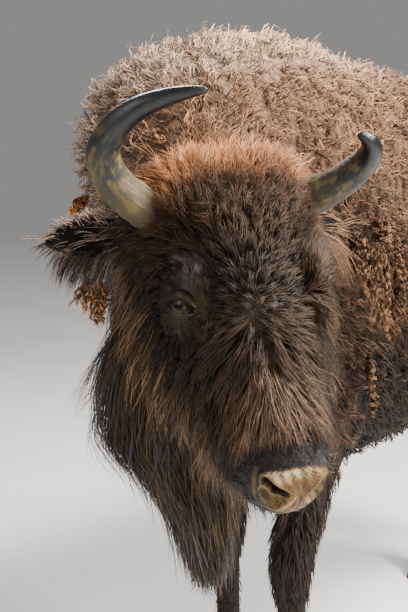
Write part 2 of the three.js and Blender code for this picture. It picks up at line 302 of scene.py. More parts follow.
def nostril(h, side):
    """How far each point is from a nostril's pit, from its scoop and from the ridges outside and inside
    it, all in radii. The left nostril is a mirror image of the right one."""
    gaps = []
    for line, radii in ((NOSTRIL, NOSTRIL_RADII), (SCOOP, [0.017] * 2), (OUTER_RIDGE, [0.007] * 3),
                        (INNER_RIDGE, [0.005] * 3)):
        if side > 0:
            line = line * [-1, 1, 1] + [2 * MUZZLE_MIDDLE, 0, -0.005]
        gaps.append(from_line(h, line, radii))
    return gaps


LIPS = [[0.088, -0.380, -0.104], [0.078, -0.420, -0.090], [0.066, -0.462, -0.076],
        [0.044, -0.494, -0.064], [0.006, -0.510, -0.057], [-0.034, -0.497, -0.062],
        [-0.060, -0.464, -0.072], [-0.074, -0.420, -0.086], [-0.084, -0.380, -0.102]]
LIP_RADII = [0.005] * len(LIPS)


def pad_top(across):
    """Where the nose pad's upper edge is along the muzzle, so far across it: further forward at the
    sides."""
    return -0.468 + 0.30 * np.maximum(0, across - 0.030)


def pad_share(h):
    """1 on the bare nose pad: the front of the muzzle, between the two alar folds and above the upper
    lip."""
    across = np.abs(h[:, 0] - MUZZLE_MIDDLE)
    top = pad_top(across)
    front = ramp(h[:, 1], top + 0.003, top - 0.003) * ramp(h[:, 2], -0.048, -0.040) * (h[:, 2] < 0.06)
    return front * ramp(across, 0.066, 0.056)


h = to_head(skin)
surface = skin  # the hide before it is carved, whose places give the colours
outward = normals_of(skin, quads)
lift = 0.0020 * pad_share(h)
for side in (-1, 1):
    pit, scoop, outer, inner = nostril(h, side)
    lift += 0.0030 * bell(pit, 1.6, 0.45) * ramp(scoop, 0.8, 1.1)
    lift -= 0.022 * ramp(pit, 1.15, 0.5) + 0.011 * ramp(scoop, 1.2, 0.2)
    lift += 0.0035 * ramp(outer, 1.0, 0.0)
    lift += 0.0025 * ramp(inner, 1.0, 0.0)
lips = from_line(h, LIPS, LIP_RADII)
under = np.interp(h[:, 1], [-0.52, -0.38], [-0.057, -0.104])
lift += 0.002 * bell(lips, 2.0, 0.8) - 0.006 * ramp(lips, 1.0, 0.2)
lift -= 0.004 * ramp(h[:, 2] - under, 0, -0.012) * ramp(h[:, 1], -0.40, -0.44)
lift -= 0.0014 * bell(h[:, 0], MUZZLE_MIDDLE, 0.004) * pad_share(h)  # the groove down the pad
lift += 0.0008 * soft(h, 0.02, 3) * ramp(h[:, 1], -0.40, -0.45)
skin = skin + outward * (lift * head)[:, None]

# Around each eye the hide rises over the ball, and it dives behind the ball inside the lids
GAZE = {side: unit(np.array([side * 0.62, -0.24, 0.75])) for side in (-1, 1)}
TEAR = {side: np.array([side * -0.46, -0.64, 0.62]) for side in (-1, 1)}  # roughly towards the inner corner
CORNER = {side: unit(TEAR[side] - GAZE[side] * (GAZE[side] @ TEAR[side])) for side in (-1, 1)}
UPWARD = {side: np.cross(GAZE[side], CORNER[side]) * -side for side in (-1, 1)}  # towards the brow
EYE_RADIUS = 0.024


def opening(across, up):
    """How many degrees the lids' opening reaches from the gaze, in the direction with these two
    shares: an oval with its corners drawn out to points, where the powers 1.4 of |across| / wide and
    |up| / tall add up to 1."""
    wide, tall = 84, np.where(up > 0, 24, 28)
    return ((np.abs(across) / wide) ** 1.4 + (np.abs(up) / tall) ** 1.4 + 1e-9) ** (-1 / 1.4)


for side, centre in EYE_CENTRES.items():
    ray = to_head(skin) - centre
    reach = np.linalg.norm(ray, axis=1)
    along = ray / np.maximum(reach, 1e-6)[:, None]
    angle = np.degrees(np.arccos(np.clip(along @ GAZE[side], -1, 1)))
    flat = unit(np.stack([along @ CORNER[side], along @ UPWARD[side]], 1))
    past = angle - opening(flat[:, 0], flat[:, 1])
    # how far out the lids lie over the hide, further at the brow
    hold = 22 + 16 * ramp(flat[:, 1], -0.2, 0.4)
    rim = EYE_RADIUS + 0.0030 - 0.010 * ramp(past, hold, hold - 14)
    hugged = rim + (np.maximum(reach, rim) - rim) * ramp(past, hold + 4, hold + 38)
    near = (reach < 0.050) & (angle < 122)
    wanted = np.where(past < hold, np.minimum(reach, rim),
                      hugged - 0.004 * ramp(angle, 98, 122) * (reach < rim))
    skin[near] = from_head(centre + ray[near] * (wanted / reach)[near][:, None])


def paint(red, green, blue):
    """A colour given as 0 to 255 on a screen, as the linear light that the shader wants."""
    value = np.array([red, green, blue]) / 255
    return np.where(value > 0.04045, ((value + 0.055) / 1.055) ** 2.4, value / 12.92)


def blend(under, over, share):
    return under + (over - under) * np.asarray(share)[:, None]


def layers(under, *marks):
    """A colour with marks laid over it in turn, each a screen colour and its share at each place."""
    for colour, share in marks:
        under = blend(under, paint(*colour), share)
    return under


WHORL = np.array([-0.028, -0.232, 0.100])  # where the hair of the face parts, between the eyes


def markings(points):
    """The coat's colour at each place: pale wool on the hump and crown, partly faded with wear and partly
    painted light on the tops, brown flanks, and blackish legs, cheeks and muzzle. Each mark is blended
    over the ones before by a smooth share of its place."""
    h, b = to_head(points), points - WITHERS
    x, y, z = h.T
    left, back, high = points[:, 0], b[:, 1], b[:, 2]
    mottle, broad = soft(points, 0.09, 5), soft(points, 0.45, 6)
    crest = high + 0.04 * mottle + 0.03 * broad - 0.10 * ramp(left, -0.05, 0.15)
    neck = ramp(back, -0.12, -0.32) * ramp(left + 0.1 * mottle, 0.02, -0.12) * ramp(high, 1.15, 1.35)
    # Darker down the body towards the belly: the coat's own darker underparts, and painted shade under the
    # body as well.
    body = layers(
        blend(paint(68, 45, 28), paint(122, 88, 62), ramp(high + 0.05 * mottle, 1.05, 1.48)),
        # The pale top of the hump: wool faded with wear, and partly painted light on the top.
        ((186, 150, 122), ramp(crest, 1.46, 1.62) * ramp(back, 0.60, -0.05)),
        ((92, 66, 47), ramp(back + 0.08 * broad, 0.55, 0.95) * 0.75),
        ((158, 132, 114), neck * 0.8),
        ((36, 24, 15), ramp(high + 0.03 * mottle, 1.16, 0.92)),
        ((82, 58, 40), ramp(left, 0.02, 0.12) * ramp(back, 0.08, -0.02) * ramp(high, 1.40, 1.30)),
        ((56, 41, 32), ramp(back, -0.25, -0.42) * ramp(high, 1.20, 1.0)),
        ((40, 30, 24), ramp(high, 0.70, 0.52)),
        ((48, 37, 29), ramp(back, 1.31, 1.35)))
    face = layers(
        blend(paint(38, 27, 18), paint(53, 33, 18), ramp(y, -0.17, -0.05) * ramp(z, -0.06, 0.06)),
        # The orange-brown top of the crown: faded hair, and partly painted light on the top.
        ((176, 116, 72), ramp(y + 0.02 * mottle, -0.05, 0.06) * ramp(z, -0.03, 0.05)),
        ((52, 39, 29), ramp(y, -0.19, -0.24) * ramp(z, 0.0, 0.055)),
        ((90, 70, 55), ramp(y, -0.27, -0.34) * ramp(z, 0.0, 0.055)),
        ((40, 29, 21), ramp(z, 0.0, -0.08) * ramp(y, 0.04, -0.06)),
        ((34, 30, 30), ramp(y, -0.37, -0.43)))
    for side, grey, olive in ((-1, 0.9, 0.8), (1, 0.3, 0.3)):
        brow = np.array([[side * 0.112, -0.138, 0.052], [side * 0.092, -0.158, 0.070]])
        face = layers(
            face,
            ((40, 32, 22), ramp(apart(h, [side * 0.112, -0.180, 0.010]), 0.066, 0.042)),
            ((104, 90, 88), ramp(from_line(h, brow, [0.034, 0.036]), 1.0, 0.4) * grey),
            ((80, 68, 44), ramp(apart(h, [side * 0.088, -0.186, 0.034]), 0.034, 0.014) * olive))
    # Painted rim light: a pale strip along the far edge of the face, where light from behind catches the
    # hair.
    far_edge_rim_light = ramp(x, 0.088, 0.108) * ramp(y, -0.34, -0.28) * ramp(y, 0.04, 0.0) * ramp(z, -0.02, 0.02)
    face = layers(face, ((132, 101, 78), far_edge_rim_light * 0.35))
    # Painted light and shade in lumps over the body: pale ridges and dark creases of matted wool.
    lumps_lit_and_shaded = 1 + 0.24 * soft(points, 0.075, 10) + 0.13 * soft(points, 0.025, 8)
    return blend(body * lumps_lit_and_shaded[:, None], face, head_share(points))


def bare(points):
    """The hide's own colour: under the wool nearly the coat's, and at the face and legs two fifths of its
    light, so that partings look deep, which is painted shade among the hair. The nose has a golden-brown
    pad with a painted highlight, a cream band, along its upper rim, nostrils painted black as shade in
    the pits, over olive scoops, and painted shadow in the folds beside them, with a golden edge."""
    h, head = to_head(points), head_share(points)
    # Painted shade among the hair: the hide is darkened to this share of the coat's colour, less on the
    # body and near the whorl.
    light = (0.45 + 0.27 * (1 - head) * ramp(points[:, 2], 0.6, 0.9)
             + 0.3 * ramp(apart(h, WHORL), 0.09, 0.02))
    speck, cloud = soft(h, 0.005, 11), soft(h, 0.022, 12)
    nose = head * ramp(h[:, 1], -0.425, -0.440)
    across = np.abs(h[:, 0] - MUZZLE_MIDDLE)
    colour = layers(markings(points) * light[:, None], ((30, 26, 25), nose))
    golden = blend(paint(66, 44, 20), paint(118, 86, 42), ramp(0.5 * cloud + speck, -0.8, 0.7))
    colour = blend(colour, golden, pad_share(h) * nose * ramp(across, 0.050, 0.040))
    top = pad_top(across)
    # Painted highlight: a cream band along the upper rim of the pad, where its top faces the light.
    rim = (nose * ramp(h[:, 1], top, top - 0.004)
           * ramp(h[:, 2] + 0.25 * across + 0.005 * cloud, 0.027, 0.043) * ramp(across, 0.060, 0.050))
    above_lip = h[:, 2] > np.interp(h[:, 1], [-0.52, -0.38], [-0.060, -0.106])
    edge = ramp(from_line(h, LIPS, LIP_RADII), 2.6, 1.9) * above_lip
    colour = layers(
        colour,
        ((226, 200, 158), rim * ramp(0.5 * cloud + speck, -1.1, 0.3) * 0.92),
        ((150, 112, 58), nose * edge * 0.85))
    for side in (-1, 1):
        pit, scoop, outer, inner = nostril(h, side)
        olive = blend(paint(104, 84, 38), paint(40, 28, 14), ramp(cloud + speck, -0.5, 0.7))
        colour = blend(colour, olive, nose * ramp(scoop, 1.25, 0.95))
        shadow = nose * ramp(h[:, 2], -0.026, -0.034) * ramp(scoop, 1.5, 1.2) * ramp(scoop, 0.8, 1.1)
        colour = layers(
            colour,
            ((20, 13, 8), shadow * ramp(across, 0.03, 0.04)),
            ((112, 90, 52), nose * ramp(outer, 1.3, 0.2) * ramp(cloud + 0.6 * speck, -2.4, 0.6) * 0.7),
            ((186, 150, 92), nose * ramp(inner, 1.0, 0.2) * 0.7),
            ((132, 104, 56), nose * bell(pit, 1.3, 0.16) * 0.6),
            # Painted shade: near-black inside the nostril pits.
            ((4, 3, 3), nose * ramp(pit, 1.22, 0.80)))
    for centre in EYE_CENTRES.values():
        colour = layers(colour, ((40, 33, 23), ramp(apart(h, centre), 0.046, 0.034)))
    return colour


def tint(piece, colours, matted=1.0):
    """Stores one colour for each point of a piece, and in its fourth place how matted with wool it is."""
    layer = piece.data.color_attributes.new("tint", "FLOAT_COLOR", "POINT")
    fourth = np.full((len(colours), 1), 1.0) * np.reshape(matted, (-1, 1))
    layer.data.foreach_set("color", np.concatenate([colours, fourth], 1).astype(np.float32).ravel())


def store(piece, name, vectors):
    """Stores one vector for each point of a piece."""
    layer = piece.data.attributes.new(name, "FLOAT_VECTOR", "POINT")
    layer.data.foreach_set("vector", vectors.astype(np.float32).ravel())


class Socket:
    """A node's output. Arithmetic on it adds Math nodes."""

    def __init__(self, tree, end=None):
        self.tree, self.end = tree, end

    def node(self, kind, settings=None, sockets=None, out=0):
        """Adds a node. Its settings come first, then the value or link of each socket, by name or
        number."""
        made = self.tree.nodes.new(kind)
        for key, value in (settings or {}).items():
            setattr(made, key, value)
        for key, value in (sockets or {}).items():
            if isinstance(value, Socket):
                self.tree.links.new(value.end, made.inputs[key])
            else:
                made.inputs[key].default_value = value
        return Socket(self.tree, made.outputs[out]) if len(made.outputs) else made

    def maths(self, operation, *values):
        return self.node("ShaderNodeMath", {"operation": operation}, dict(enumerate(values)))

    def __add__(self, other):
        return self.maths("ADD", self, other)

    def __mul__(self, other):
        return self.maths("MULTIPLY", self, other)

    def __sub__(self, other):
        return self.maths("SUBTRACT", self, other)

    def __rsub__(self, other):
        return self.maths("SUBTRACT", other, self)

    __radd__, __rmul__ = __add__, __mul__

    def spread(self, low, high, start=0.0, end=1.0):
        """The number carried smoothly from low..high to start..end."""
        return self.node("ShaderNodeMapRange", {"interpolation_type": "SMOOTHSTEP"},
                         {0: self, 1: low, 2: high, 3: start, 4: end})

    def over(self, under, share, way="MIX"):
        """This colour laid over another by a share, in one of the Mix node's ways."""
        return self.node("ShaderNodeMix", {"data_type": "RGBA", "blend_type": way},
                         {0: share, 6: under, 7: self}, 2)

    def hues(self, *stops):
        """This number as a colour, between stops that each give a number and its screen colour."""
        made = self.node("ShaderNodeValToRGB", None, {0: self})
        elements = made.end.node.color_ramp.elements
        for _ in stops[2:]:
            elements.new(0.5)
        for element, (position, *colour) in zip(elements, stops):
            element.position, element.color = position, (*paint(*colour), 1)
        return made

    def part(self, axis):
        """One coordinate of this vector."""
        return self.node("ShaderNodeSeparateXYZ", None, {0: self}, axis)

    def grey(self):
        return self.node("ShaderNodeCombineColor", None, {0: self, 1: self, 2: self})


def finish(name, colour, roughness, bump=None, **fixed):
    """A material. `colour`, `roughness` and `bump` are functions that are given a first socket to
    build from; bump returns a height in metres. The other values are set on the shader's own sockets."""
    material = bpy.data.materials.new(name)
    material.use_nodes = True
    tree = material.node_tree
    tree.nodes.clear()
    first = Socket(tree)
    sockets = {"Base Color": colour(first), "Roughness": roughness(first)}
    if bump:
        sockets["Normal"] = first.node("ShaderNodeBump", None,
                                       {"Strength": 1.0, "Distance": 1.0, "Height": bump(first)})
    shader = first.node("ShaderNodeBsdfPrincipled", None, sockets)
    for key, value in fixed.items():
        shader.end.node.inputs[key.replace("_", " ")].default_value = value
    first.node("ShaderNodeOutputMaterial", None, {"Surface": shader})
    return material


def place(first):
    """Places on the piece, in metres."""
    return first.node("ShaderNodeTexCoord", None, None, 3)


def noise(first, scale, detail=3.0, at=None):
    settings = {"Vector": at or place(first), "Scale": float(scale), "Detail": detail}
    return first.node("ShaderNodeTexNoise", None, settings)


def stretched(at, scales, detail):
    """Noise over a place whose three axes are scaled first."""
    return noise(at, 1.0, detail, at.node("ShaderNodeMapping", None, {0: at, 3: scales}))


def wandering(scale, low, high, detail=3):
    """A function for a number that wanders smoothly between two values over a piece."""
    return lambda first: noise(first, scale, detail).spread(0.3, 0.7, low, high)


def own_tint(first):
    return first.node("ShaderNodeVertexColor", {"layer_name": "tint"})


def matted(first):
    """How matted with wool the hide is, from 0 to 1."""
    return first.node("ShaderNodeVertexColor", {"layer_name": "tint"}, None, 1)


def hide_colour(first):
    """The stored colour, darkened in fine grain. Under the wool the hollows between curls are darkened
    as well, as painted shade."""
    grain = noise(first, 700, 4).spread(0.3, 0.75, 0.72, 1.18)
    curls = noise(first, 75, 4).spread(0.35, 0.62, 0.45, 1.15)
    return (grain * (1 - matted(first) * (1 - curls))).grey().over(own_tint(first), 1.0, "MULTIPLY")


def hide_bump(first):
    """Pebbled skin: cells two millimetres across, over finer grain. Where it is matted, curls of wool
    instead."""
    cells = first.node("ShaderNodeTexVoronoi", {"feature": "F1"}, {"Vector": place(first), "Scale": 420.0})
    curls = noise(first, 75, 5) * 0.014 + noise(first, 240, 3) * 0.004
    return (cells * 0.0009 + noise(first, 1500, 3) * 0.0003) * (1 - matted(first)) + curls * matted(first)


hide_finish = finish("hide", hide_colour, lambda first: wandering(260, 0.36, 0.6)(first)
                     + matted(first) * 0.3, hide_bump, Specular_IOR_Level=0.22)

triangle = quads[:, 2] == quads[:, 3]
hide = build("hide", skin, [quads[~triangle], quads[triangle][:, :3]])
tint(hide, bare(surface), 1 - 0.75 * head_share(skin) * ramp(to_head(skin)[:, 1], 0.02, -0.06))
hide.data.attributes.active_color_name = "tint"
hide.data.materials.append(hide_finish)
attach(hide, "root")
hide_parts(*FLESH)

# ---------------------------------------------------------------------------------------------------------
# Eyes. Each is a wet glass-smooth ball with a swelling cornea over a brown iris and a level pupil, held by
# thick hairless lids that meet at a pale inner corner.
# ---------------------------------------------------------------------------------------------------------
ACROSS = np.array([0.961, -0.206, 0.187])  # level and crosswise, in the head's frame
LEVEL = {side: unit(ACROSS - GAZE[side] * (GAZE[side] @ ACROSS)) for side in (-1, 1)}


def outward_faces(points, quads):
    """The quads, turned round where most of the closed surface faces inwards, which its signed volume
    tells."""
    a, b, c, d = (points[quads[:, k]] for k in range(4))
    volume = (np.cross(b - a, c - a) * a).sum() + (np.cross(c - a, d - a) * a).sum()
    return quads if volume > 0 else quads[:, ::-1]


def iris_colour(first):
    """The iris from its own polar place: spokes of amber and brown, a level black pupil and a dark ring,
    then a brown-veined white."""
    seat = first.node("ShaderNodeAttribute", {"attribute_name": "gaze"}, None, 1)
    reach = first.node("ShaderNodeVectorMath", {"operation": "LENGTH"}, {0: seat}, 1)
    across, along = seat.part(0), seat.part(1)
    pupil = (across * across * 1.6 + along * along * 5.0).spread(0.30, 0.85, 1.0, 0.0)
    spokes = noise(first, 6, 5, first.node("ShaderNodeVectorMath", {"operation": "NORMALIZE"}, {0: seat}))
    amber = spokes.hues((0.3, 22, 14, 7), (0.55, 58, 40, 20), (0.78, 104, 78, 42))
    white = noise(first, 420, 3).hues((0.35, 18, 12, 9), (0.7, 40, 29, 22))
    ring = first.node("ShaderNodeRGB")
    ring.end.node.outputs[0].default_value = (0.006, 0.004, 0.003, 1)
    eye = white.over(amber, reach.spread(1.08, 1.2))
    eye = ring.over(eye, reach.spread(0.82, 1.0) * reach.spread(1.3, 1.12))
    return ring.over(eye, pupil)


eye_finish = finish("eye", iris_colour, wandering(300, 0.06, 0.12, 2), Specular_IOR_Level=0.3, IOR=1.36)
lid_finish = finish("eyelid", hide_colour, wandering(500, 0.42, 0.65),
                    lambda first: noise(first, 900, 4) * 0.0006, Specular_IOR_Level=0.22)
SIDES = {-1: "right", 1: "left"}
CORNEA = 0.0011  # how far the cornea stands out of the ball
BALL_ROWS, BALL_COLUMNS, LID_COLUMNS = 48, 64, 84
# The rows of a lid: degrees outside the opening's edge, then mm over the ball in the upper and lower lid
LID_ROWS = np.array([[-5, -1.2, -1.2], [-3, 0.9, 0.6], [-1, 2.6, 1.3], [2, 4.0, 1.8], [7, 5.0, 2.1],
                     [13, 5.6, 2.0], [20, 5.8, 1.9], [27, 5.5, 2.4], [33, 4.6, 2.9], [37, 3.4, 3.0],
                     [42, 4.6, 3.0], [52, 3.8, 2.4], [66, 1.6, 0.4], [62, -3, -3], [20, -5, -5],
                     [0, -5, -5]])

for side, word in SIDES.items():
    centre = EYE_CENTRES[side]
    # The ball: angle from the gaze by angle around it, the radius swelled by a bell at the cornea
    polar, around = pairs(np.linspace(0, np.pi, BALL_ROWS + 2)[1:-1], circle(BALL_COLUMNS))
    polar, around = polar[:, None], around[:, None]
    third = np.cross(GAZE[side], LEVEL[side])
    way = (np.cos(polar) * GAZE[side]
           + np.sin(polar) * (np.cos(around) * LEVEL[side] + np.sin(around) * third))
    bulge = EYE_RADIUS + CORNEA * np.exp(-((polar / 0.5) ** 4))
    poles = [centre + GAZE[side] * (EYE_RADIUS + CORNEA), centre - GAZE[side] * EYE_RADIUS]
    globe = np.concatenate([centre + way * bulge, poles])
    globe_quads, fans = ball_faces(BALL_ROWS, BALL_COLUMNS)
    kept = outward_faces(globe, globe_quads)
    eye = build(f"eye_ball_{word}", from_head(globe),
                [kept, fans if kept is globe_quads else fans[:, ::-1]])
    spot = polar / 0.52 * np.concatenate([np.cos(around), np.sin(around), 0 * around], 1)
    store(eye, "gaze", np.concatenate([spot, [[0, 0, 0], [5, 0, 0]]]))
    eye.data.materials.append(eye_finish)
    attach(eye, "root")
    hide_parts(f"eye_{word}")
    # The lids: a closed band round the opening. The upper one rises in a thick fold, and a crease parts
    # it from the brow.
    spin = circle(LID_COLUMNS)
    upper, rows = ramp(np.sin(spin), -0.25, 0.25), LID_ROWS
    angle = np.radians(np.minimum(opening(np.cos(spin), np.sin(spin))[None] + rows[:, :1], 124))
    raised = rows[:, 1:2] * upper + rows[:, 2:] * (1 - upper)
    raised = raised + 0.35 * np.sin(7 * spin + 1)[None] * (rows[:, :1] > 5) * (rows[:, :1] < 50)
    axes = np.cos(spin)[:, None] * CORNER[side] + np.sin(spin)[:, None] * UPWARD[side]
    ways = np.cos(angle)[..., None] * GAZE[side] + np.sin(angle)[..., None] * axes
    band = from_head((centre + ways * (EYE_RADIUS + raised / 1000)[..., None]).reshape(-1, 3))
    seam, nxt = np.arange(LID_COLUMNS), (np.arange(LID_COLUMNS) + 1) % LID_COLUMNS
    last = (len(rows) - 1) * LID_COLUMNS
    closing = np.stack([seam + last, seam, nxt, nxt + last], 1)
    band_quads = np.concatenate([closed_grid(len(rows), LID_COLUMNS), closing])
    lids = build(f"eyelids_{word}", band, [outward_faces(band - band.mean(0), band_quads)])
    out_by, fold = np.repeat(rows[:, 0], LID_COLUMNS), np.tile(upper, len(rows))
    low = np.tile(ramp(np.sin(spin), -0.1, -0.5), len(rows))
    tear = np.tile(ramp(np.cos(spin), 0.80, 1.0), len(rows)) * ramp(out_by, 34, 12) * ramp(out_by, -2, 3)
    tint(lids, layers(
        paint(44, 36, 24),
        ((64, 53, 33), fold * ramp(out_by, 4, 10) * ramp(out_by, 36, 28)),
        # Painted shade: a dark line along the crease between the fold and the brow.
        ((14, 11, 9), bell(out_by, 37, 4) * fold),
        ((9, 7, 6), ramp(out_by, 6, 2) * fold + ramp(out_by, 15, 6) * (1 - fold)),
        # Painted highlight: a pale line along the wet edge of the lower lid.
        ((112, 104, 88), low * bell(out_by, 1, 1.6) * 0.45),
        ((124, 104, 66), tear * 0.85)))
    lids.data.materials.append(lid_finish)
    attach(lids, "root")

# ---------------------------------------------------------------------------------------------------------
# Horns. Hollow sheaths of horn on bony cores: rough, ringed and stained at the root, and polished
# blue-black at the tip. The left one is shorter and hooked.
# ---------------------------------------------------------------------------------------------------------
# The middle line of each sheath, in mm in the head's frame
HORN_LINES = {"right": [[-95, -8, -16], [-131, -2, 10], [-186, 30, 46], [-207, 58, 93], [-192, 77, 135],
                        [-156, 88, 170], [-105, 90, 195], [-54, 86, 212]],
              "left": [[95, -2, -16], [130, -6, 12], [160, -10, 42], [188, -10, 78], [207, -8, 118],
                       [209, -6, 150], [199, -2, 172], [180, 4, 184]]}


def curve(rows, places):
    """Catmull-Rom values of the rows at places from 0 to 1: the cubic through four rows that takes its
    slope at each from the rows on either side."""
    rows = np.asarray(rows, float)
    rows = np.concatenate([[2 * rows[0] - rows[1]], rows, [2 * rows[-1] - rows[-2]]])
    at = np.clip(places, 0, 1) * (len(rows) - 3)
    i = np.minimum(at.astype(int), len(rows) - 4)
    f = (at - i)[:, None]
    a, b, c, d = rows[i], rows[i + 1], rows[i + 2], rows[i + 3]
    return b + 0.5 * f * (c - a + f * (2 * a - 5 * b + 4 * c - d + f * (3 * (b - c) + d - a)))


def tube(line, radii, around, wobble=None):
    """A closed round tube along a line of points: each ring lies across the line's direction, and its
    two ends are drawn in to a point. Returns points, quads, and each point's share along and angle
    around."""
    ahead = unit(np.gradient(line, axis=0))
    side = unit(np.cross(ahead, ahead[len(ahead) // 2][[1, 2, 0]] + 0.3))
    rise = np.cross(side, ahead)
    spin = circle(around)
    wide = radii[:, None] * (1 if wobble is None else 1 + wobble)
    rings = (line[:, None] + wide[..., None] * (np.cos(spin)[None, :, None] * side[:, None]
                                                + np.sin(spin)[None, :, None] * rise[:, None]))
    caps = [np.repeat(line[:1], around, 0)[None], rings,
            np.repeat(line[-1:] + ahead[-1:] * radii[-1], around, 0)[None]]
    points = np.concatenate(caps).reshape(-1, 3)
    quads = closed_grid(len(line) + 2, around)
    share = np.linspace(0, 1, len(line) + 2).repeat(around)
    return points, outward_faces(points - points.mean(0), quads), share, np.tile(spin, len(line) + 2)


def merge_ends(piece):
    """Merges the points of a piece that share a place, which closes its ends."""
    shell = bmesh.new()
    shell.from_mesh(piece.data)
    bmesh.ops.remove_doubles(shell, verts=shell.verts, dist=1e-5)
    shell.to_mesh(piece.data)
    shell.free()
    return piece


def horn_place(first):
    return first.node("ShaderNodeAttribute", {"attribute_name": "sheath"}, None, 1)


def horn_colour(first):
    """Along the horn: grey-brown, then weathered olive-grey, then blue-black. Yellow-green dirt lies in
    streaks and patches over the lower two thirds, and pale scratches run along it."""
    sheath = horn_place(first)
    along = sheath.part(0)
    streaks = stretched(sheath, (9.0, 14.0, 14.0), 5)
    patches = stretched(sheath, (15.0, 5.0, 5.0), 6)
    shift = along + (noise(first, 24, 3) - 0.5) * 0.34
    body = shift.hues((0.05, 76, 64, 46), (0.22, 70, 62, 42), (0.40, 42, 43, 36), (0.52, 20, 25, 28),
                      (1.0, 9, 11, 14))
    dirt = patches.hues((0.3, 70, 60, 28), (0.7, 122, 100, 50))
    body = dirt.over(body, patches.spread(0.42, 0.66) * shift.spread(0.70, 0.42) * 0.7)
    pale = streaks.hues((0.0, 150, 140, 116), (1.0, 176, 160, 128))
    body = pale.over(body, streaks.spread(0.62, 0.78) * along.spread(0.7, 0.3, 0.05, 0.34))
    return streaks.spread(0.2, 0.6, 0.7, 1.05).grey().over(body, 1.0, "MULTIPLY")


def horn_bump(first):
    """Growth rings that fade out towards the tip, with fine grain along the sheath."""
    along = horn_place(first).part(0)
    grain = stretched(horn_place(first), (14.0, 46.0, 46.0), 4) * along.spread(0.75, 0.2, 0.0004, 0.0022)
    return grain + noise(first, 160, 4) * along.spread(0.7, 0.3, 0.0002, 0.0012)


def horn_roughness(first):
    """Dull at the root and polished at the tip."""
    along = horn_place(first).part(0) + (noise(first, 30, 3) - 0.5) * 0.4
    return along.spread(0.3, 0.75, 0.58, 0.2) + noise(first, 200, 3) * 0.1


horn_finish = finish("horn", horn_colour, horn_roughness, horn_bump, Specular_IOR_Level=0.4)
HORN_ROWS, HORN_COLUMNS = 150, 40
for word, line in HORN_LINES.items():
    share = np.linspace(0, 1, HORN_ROWS)
    path = from_head(curve(np.array(line) / 1000, share))
    radii = (35 * (1 - share) ** 0.6 * (1 - 0.1 * share) + 3.2) / 1000
    spin = circle(HORN_COLUMNS)
    down = share[:, None]
    rings = 0.016 * np.sin(down * 92 + 0.8 * np.sin(down * 31)) * ramp(down, 0.55, 0.1)
    rough = 0.02 * np.sin(5 * spin + 3 * np.sin(6 * down)) * ramp(down, 0.7, 0.1)
    points, faces, along, about = tube(path, radii, HORN_COLUMNS, rings + rough)
    horn = build(f"horn_sheath_{word}", points, [faces])
    store(horn, "sheath", np.stack([along, 0.5 + 0.5 * np.cos(about), 0.5 + 0.5 * np.sin(about)], 1))
    merge_ends(horn)
    horn.data.materials.append(horn_finish)
    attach(horn, "root")
    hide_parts(f"horn_{word}")

# ---------------------------------------------------------------------------------------------------------
# Ears. Leaves of gristle and thin skin, cupped towards the brow, dark inside with painted shade in the
# hollow, and fringed with long hair.
# The right one stands out sideways and the left one is laid back.
# ---------------------------------------------------------------------------------------------------------
# The root and tip of each ear in the head's frame, and its half widths from root to tip, all in mm
EAR_LINES = {"right": [[-118, -10, -58], [-290, 26, -117]], "left": [[118, -4, -58], [251, 26, -146]]}
EAR_HALF_WIDTHS = [[16], [28], [39], [42], [31], [7]]
EAR_ROWS = 44  # along the leaf, and as many points around it
EAR_CUP = [0.55, 0.25]  # the rise of a leaf's edges and the drop of its middle, in half widths
ear_finish = finish("ear_skin", hide_colour, wandering(300, 0.6, 0.85),
                    lambda first: noise(first, 420, 4) * 0.0012, Specular_IOR_Level=0.1)
ears = {}
for word, (root, tip) in EAR_LINES.items():
    # Share along by angle around: a flat oval section whose two edges are lifted towards the brow by the
    # square of the distance from its middle line
    share, spin = pairs(np.linspace(0, 1, EAR_ROWS), circle(EAR_ROWS))
    root, tip, across = np.array(root) / 1000, np.array(tip) / 1000, np.array([0.2, 0.95, 0])
    ahead = unit(tip - root)
    side = unit(across - ahead * (ahead @ across))
    rise = np.cross(side, ahead) * (1 if np.cross(side, ahead)[2] > 0 else -1)
    half, out = curve(EAR_HALF_WIDTHS, share).ravel() / 1000, np.cos(spin)
    cup = EAR_CUP[0] * half * out**2 - EAR_CUP[1] * half
    thick = (0.0032 + 0.004 * (1 - share)) * np.sin(spin)
    leaf = (root + share[:, None] * (tip - root) + (half * out)[:, None] * side
            + (cup + thick)[:, None] * rise)
    leaf = leaf.reshape(EAR_ROWS, EAR_ROWS, 3)
    leaf[0], leaf[-1] = leaf[0].mean(0), leaf[-1].mean(0)
    leaf = from_head(leaf.reshape(-1, 3))
    faces = outward_faces(leaf - leaf.mean(0), closed_grid(EAR_ROWS, EAR_ROWS))
    ear = merge_ends(build(f"ear_leaf_{word}", leaf, [faces]))
    from_root = to_head(read(ear.data)[0]) - root
    half = curve(EAR_HALF_WIDTHS, from_root @ ahead / np.linalg.norm(tip - root)).ravel() / 1000
    out = np.abs(from_root @ side) / half
    inside = ramp(from_root @ rise - EAR_CUP[0] * half * out**2 + EAR_CUP[1] * half, -0.001, 0.001)
    # The hollow of the cup is painted near-black: dark skin, and painted shade in the cup as well.
    tint(ear, layers(paint(48, 37, 30), ((17, 13, 12), inside),
                     ((112, 90, 60), ramp(out, 0.84, 0.96) * 0.8)))
    ear.data.materials.append(ear_finish)
    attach(ear, "root")
    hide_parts(f"ear_{word}")
    ears[word] = (leaf, faces, from_head(tip) - from_head(root), from_head(rise) - POLL,
                  from_head(side) - POLL)

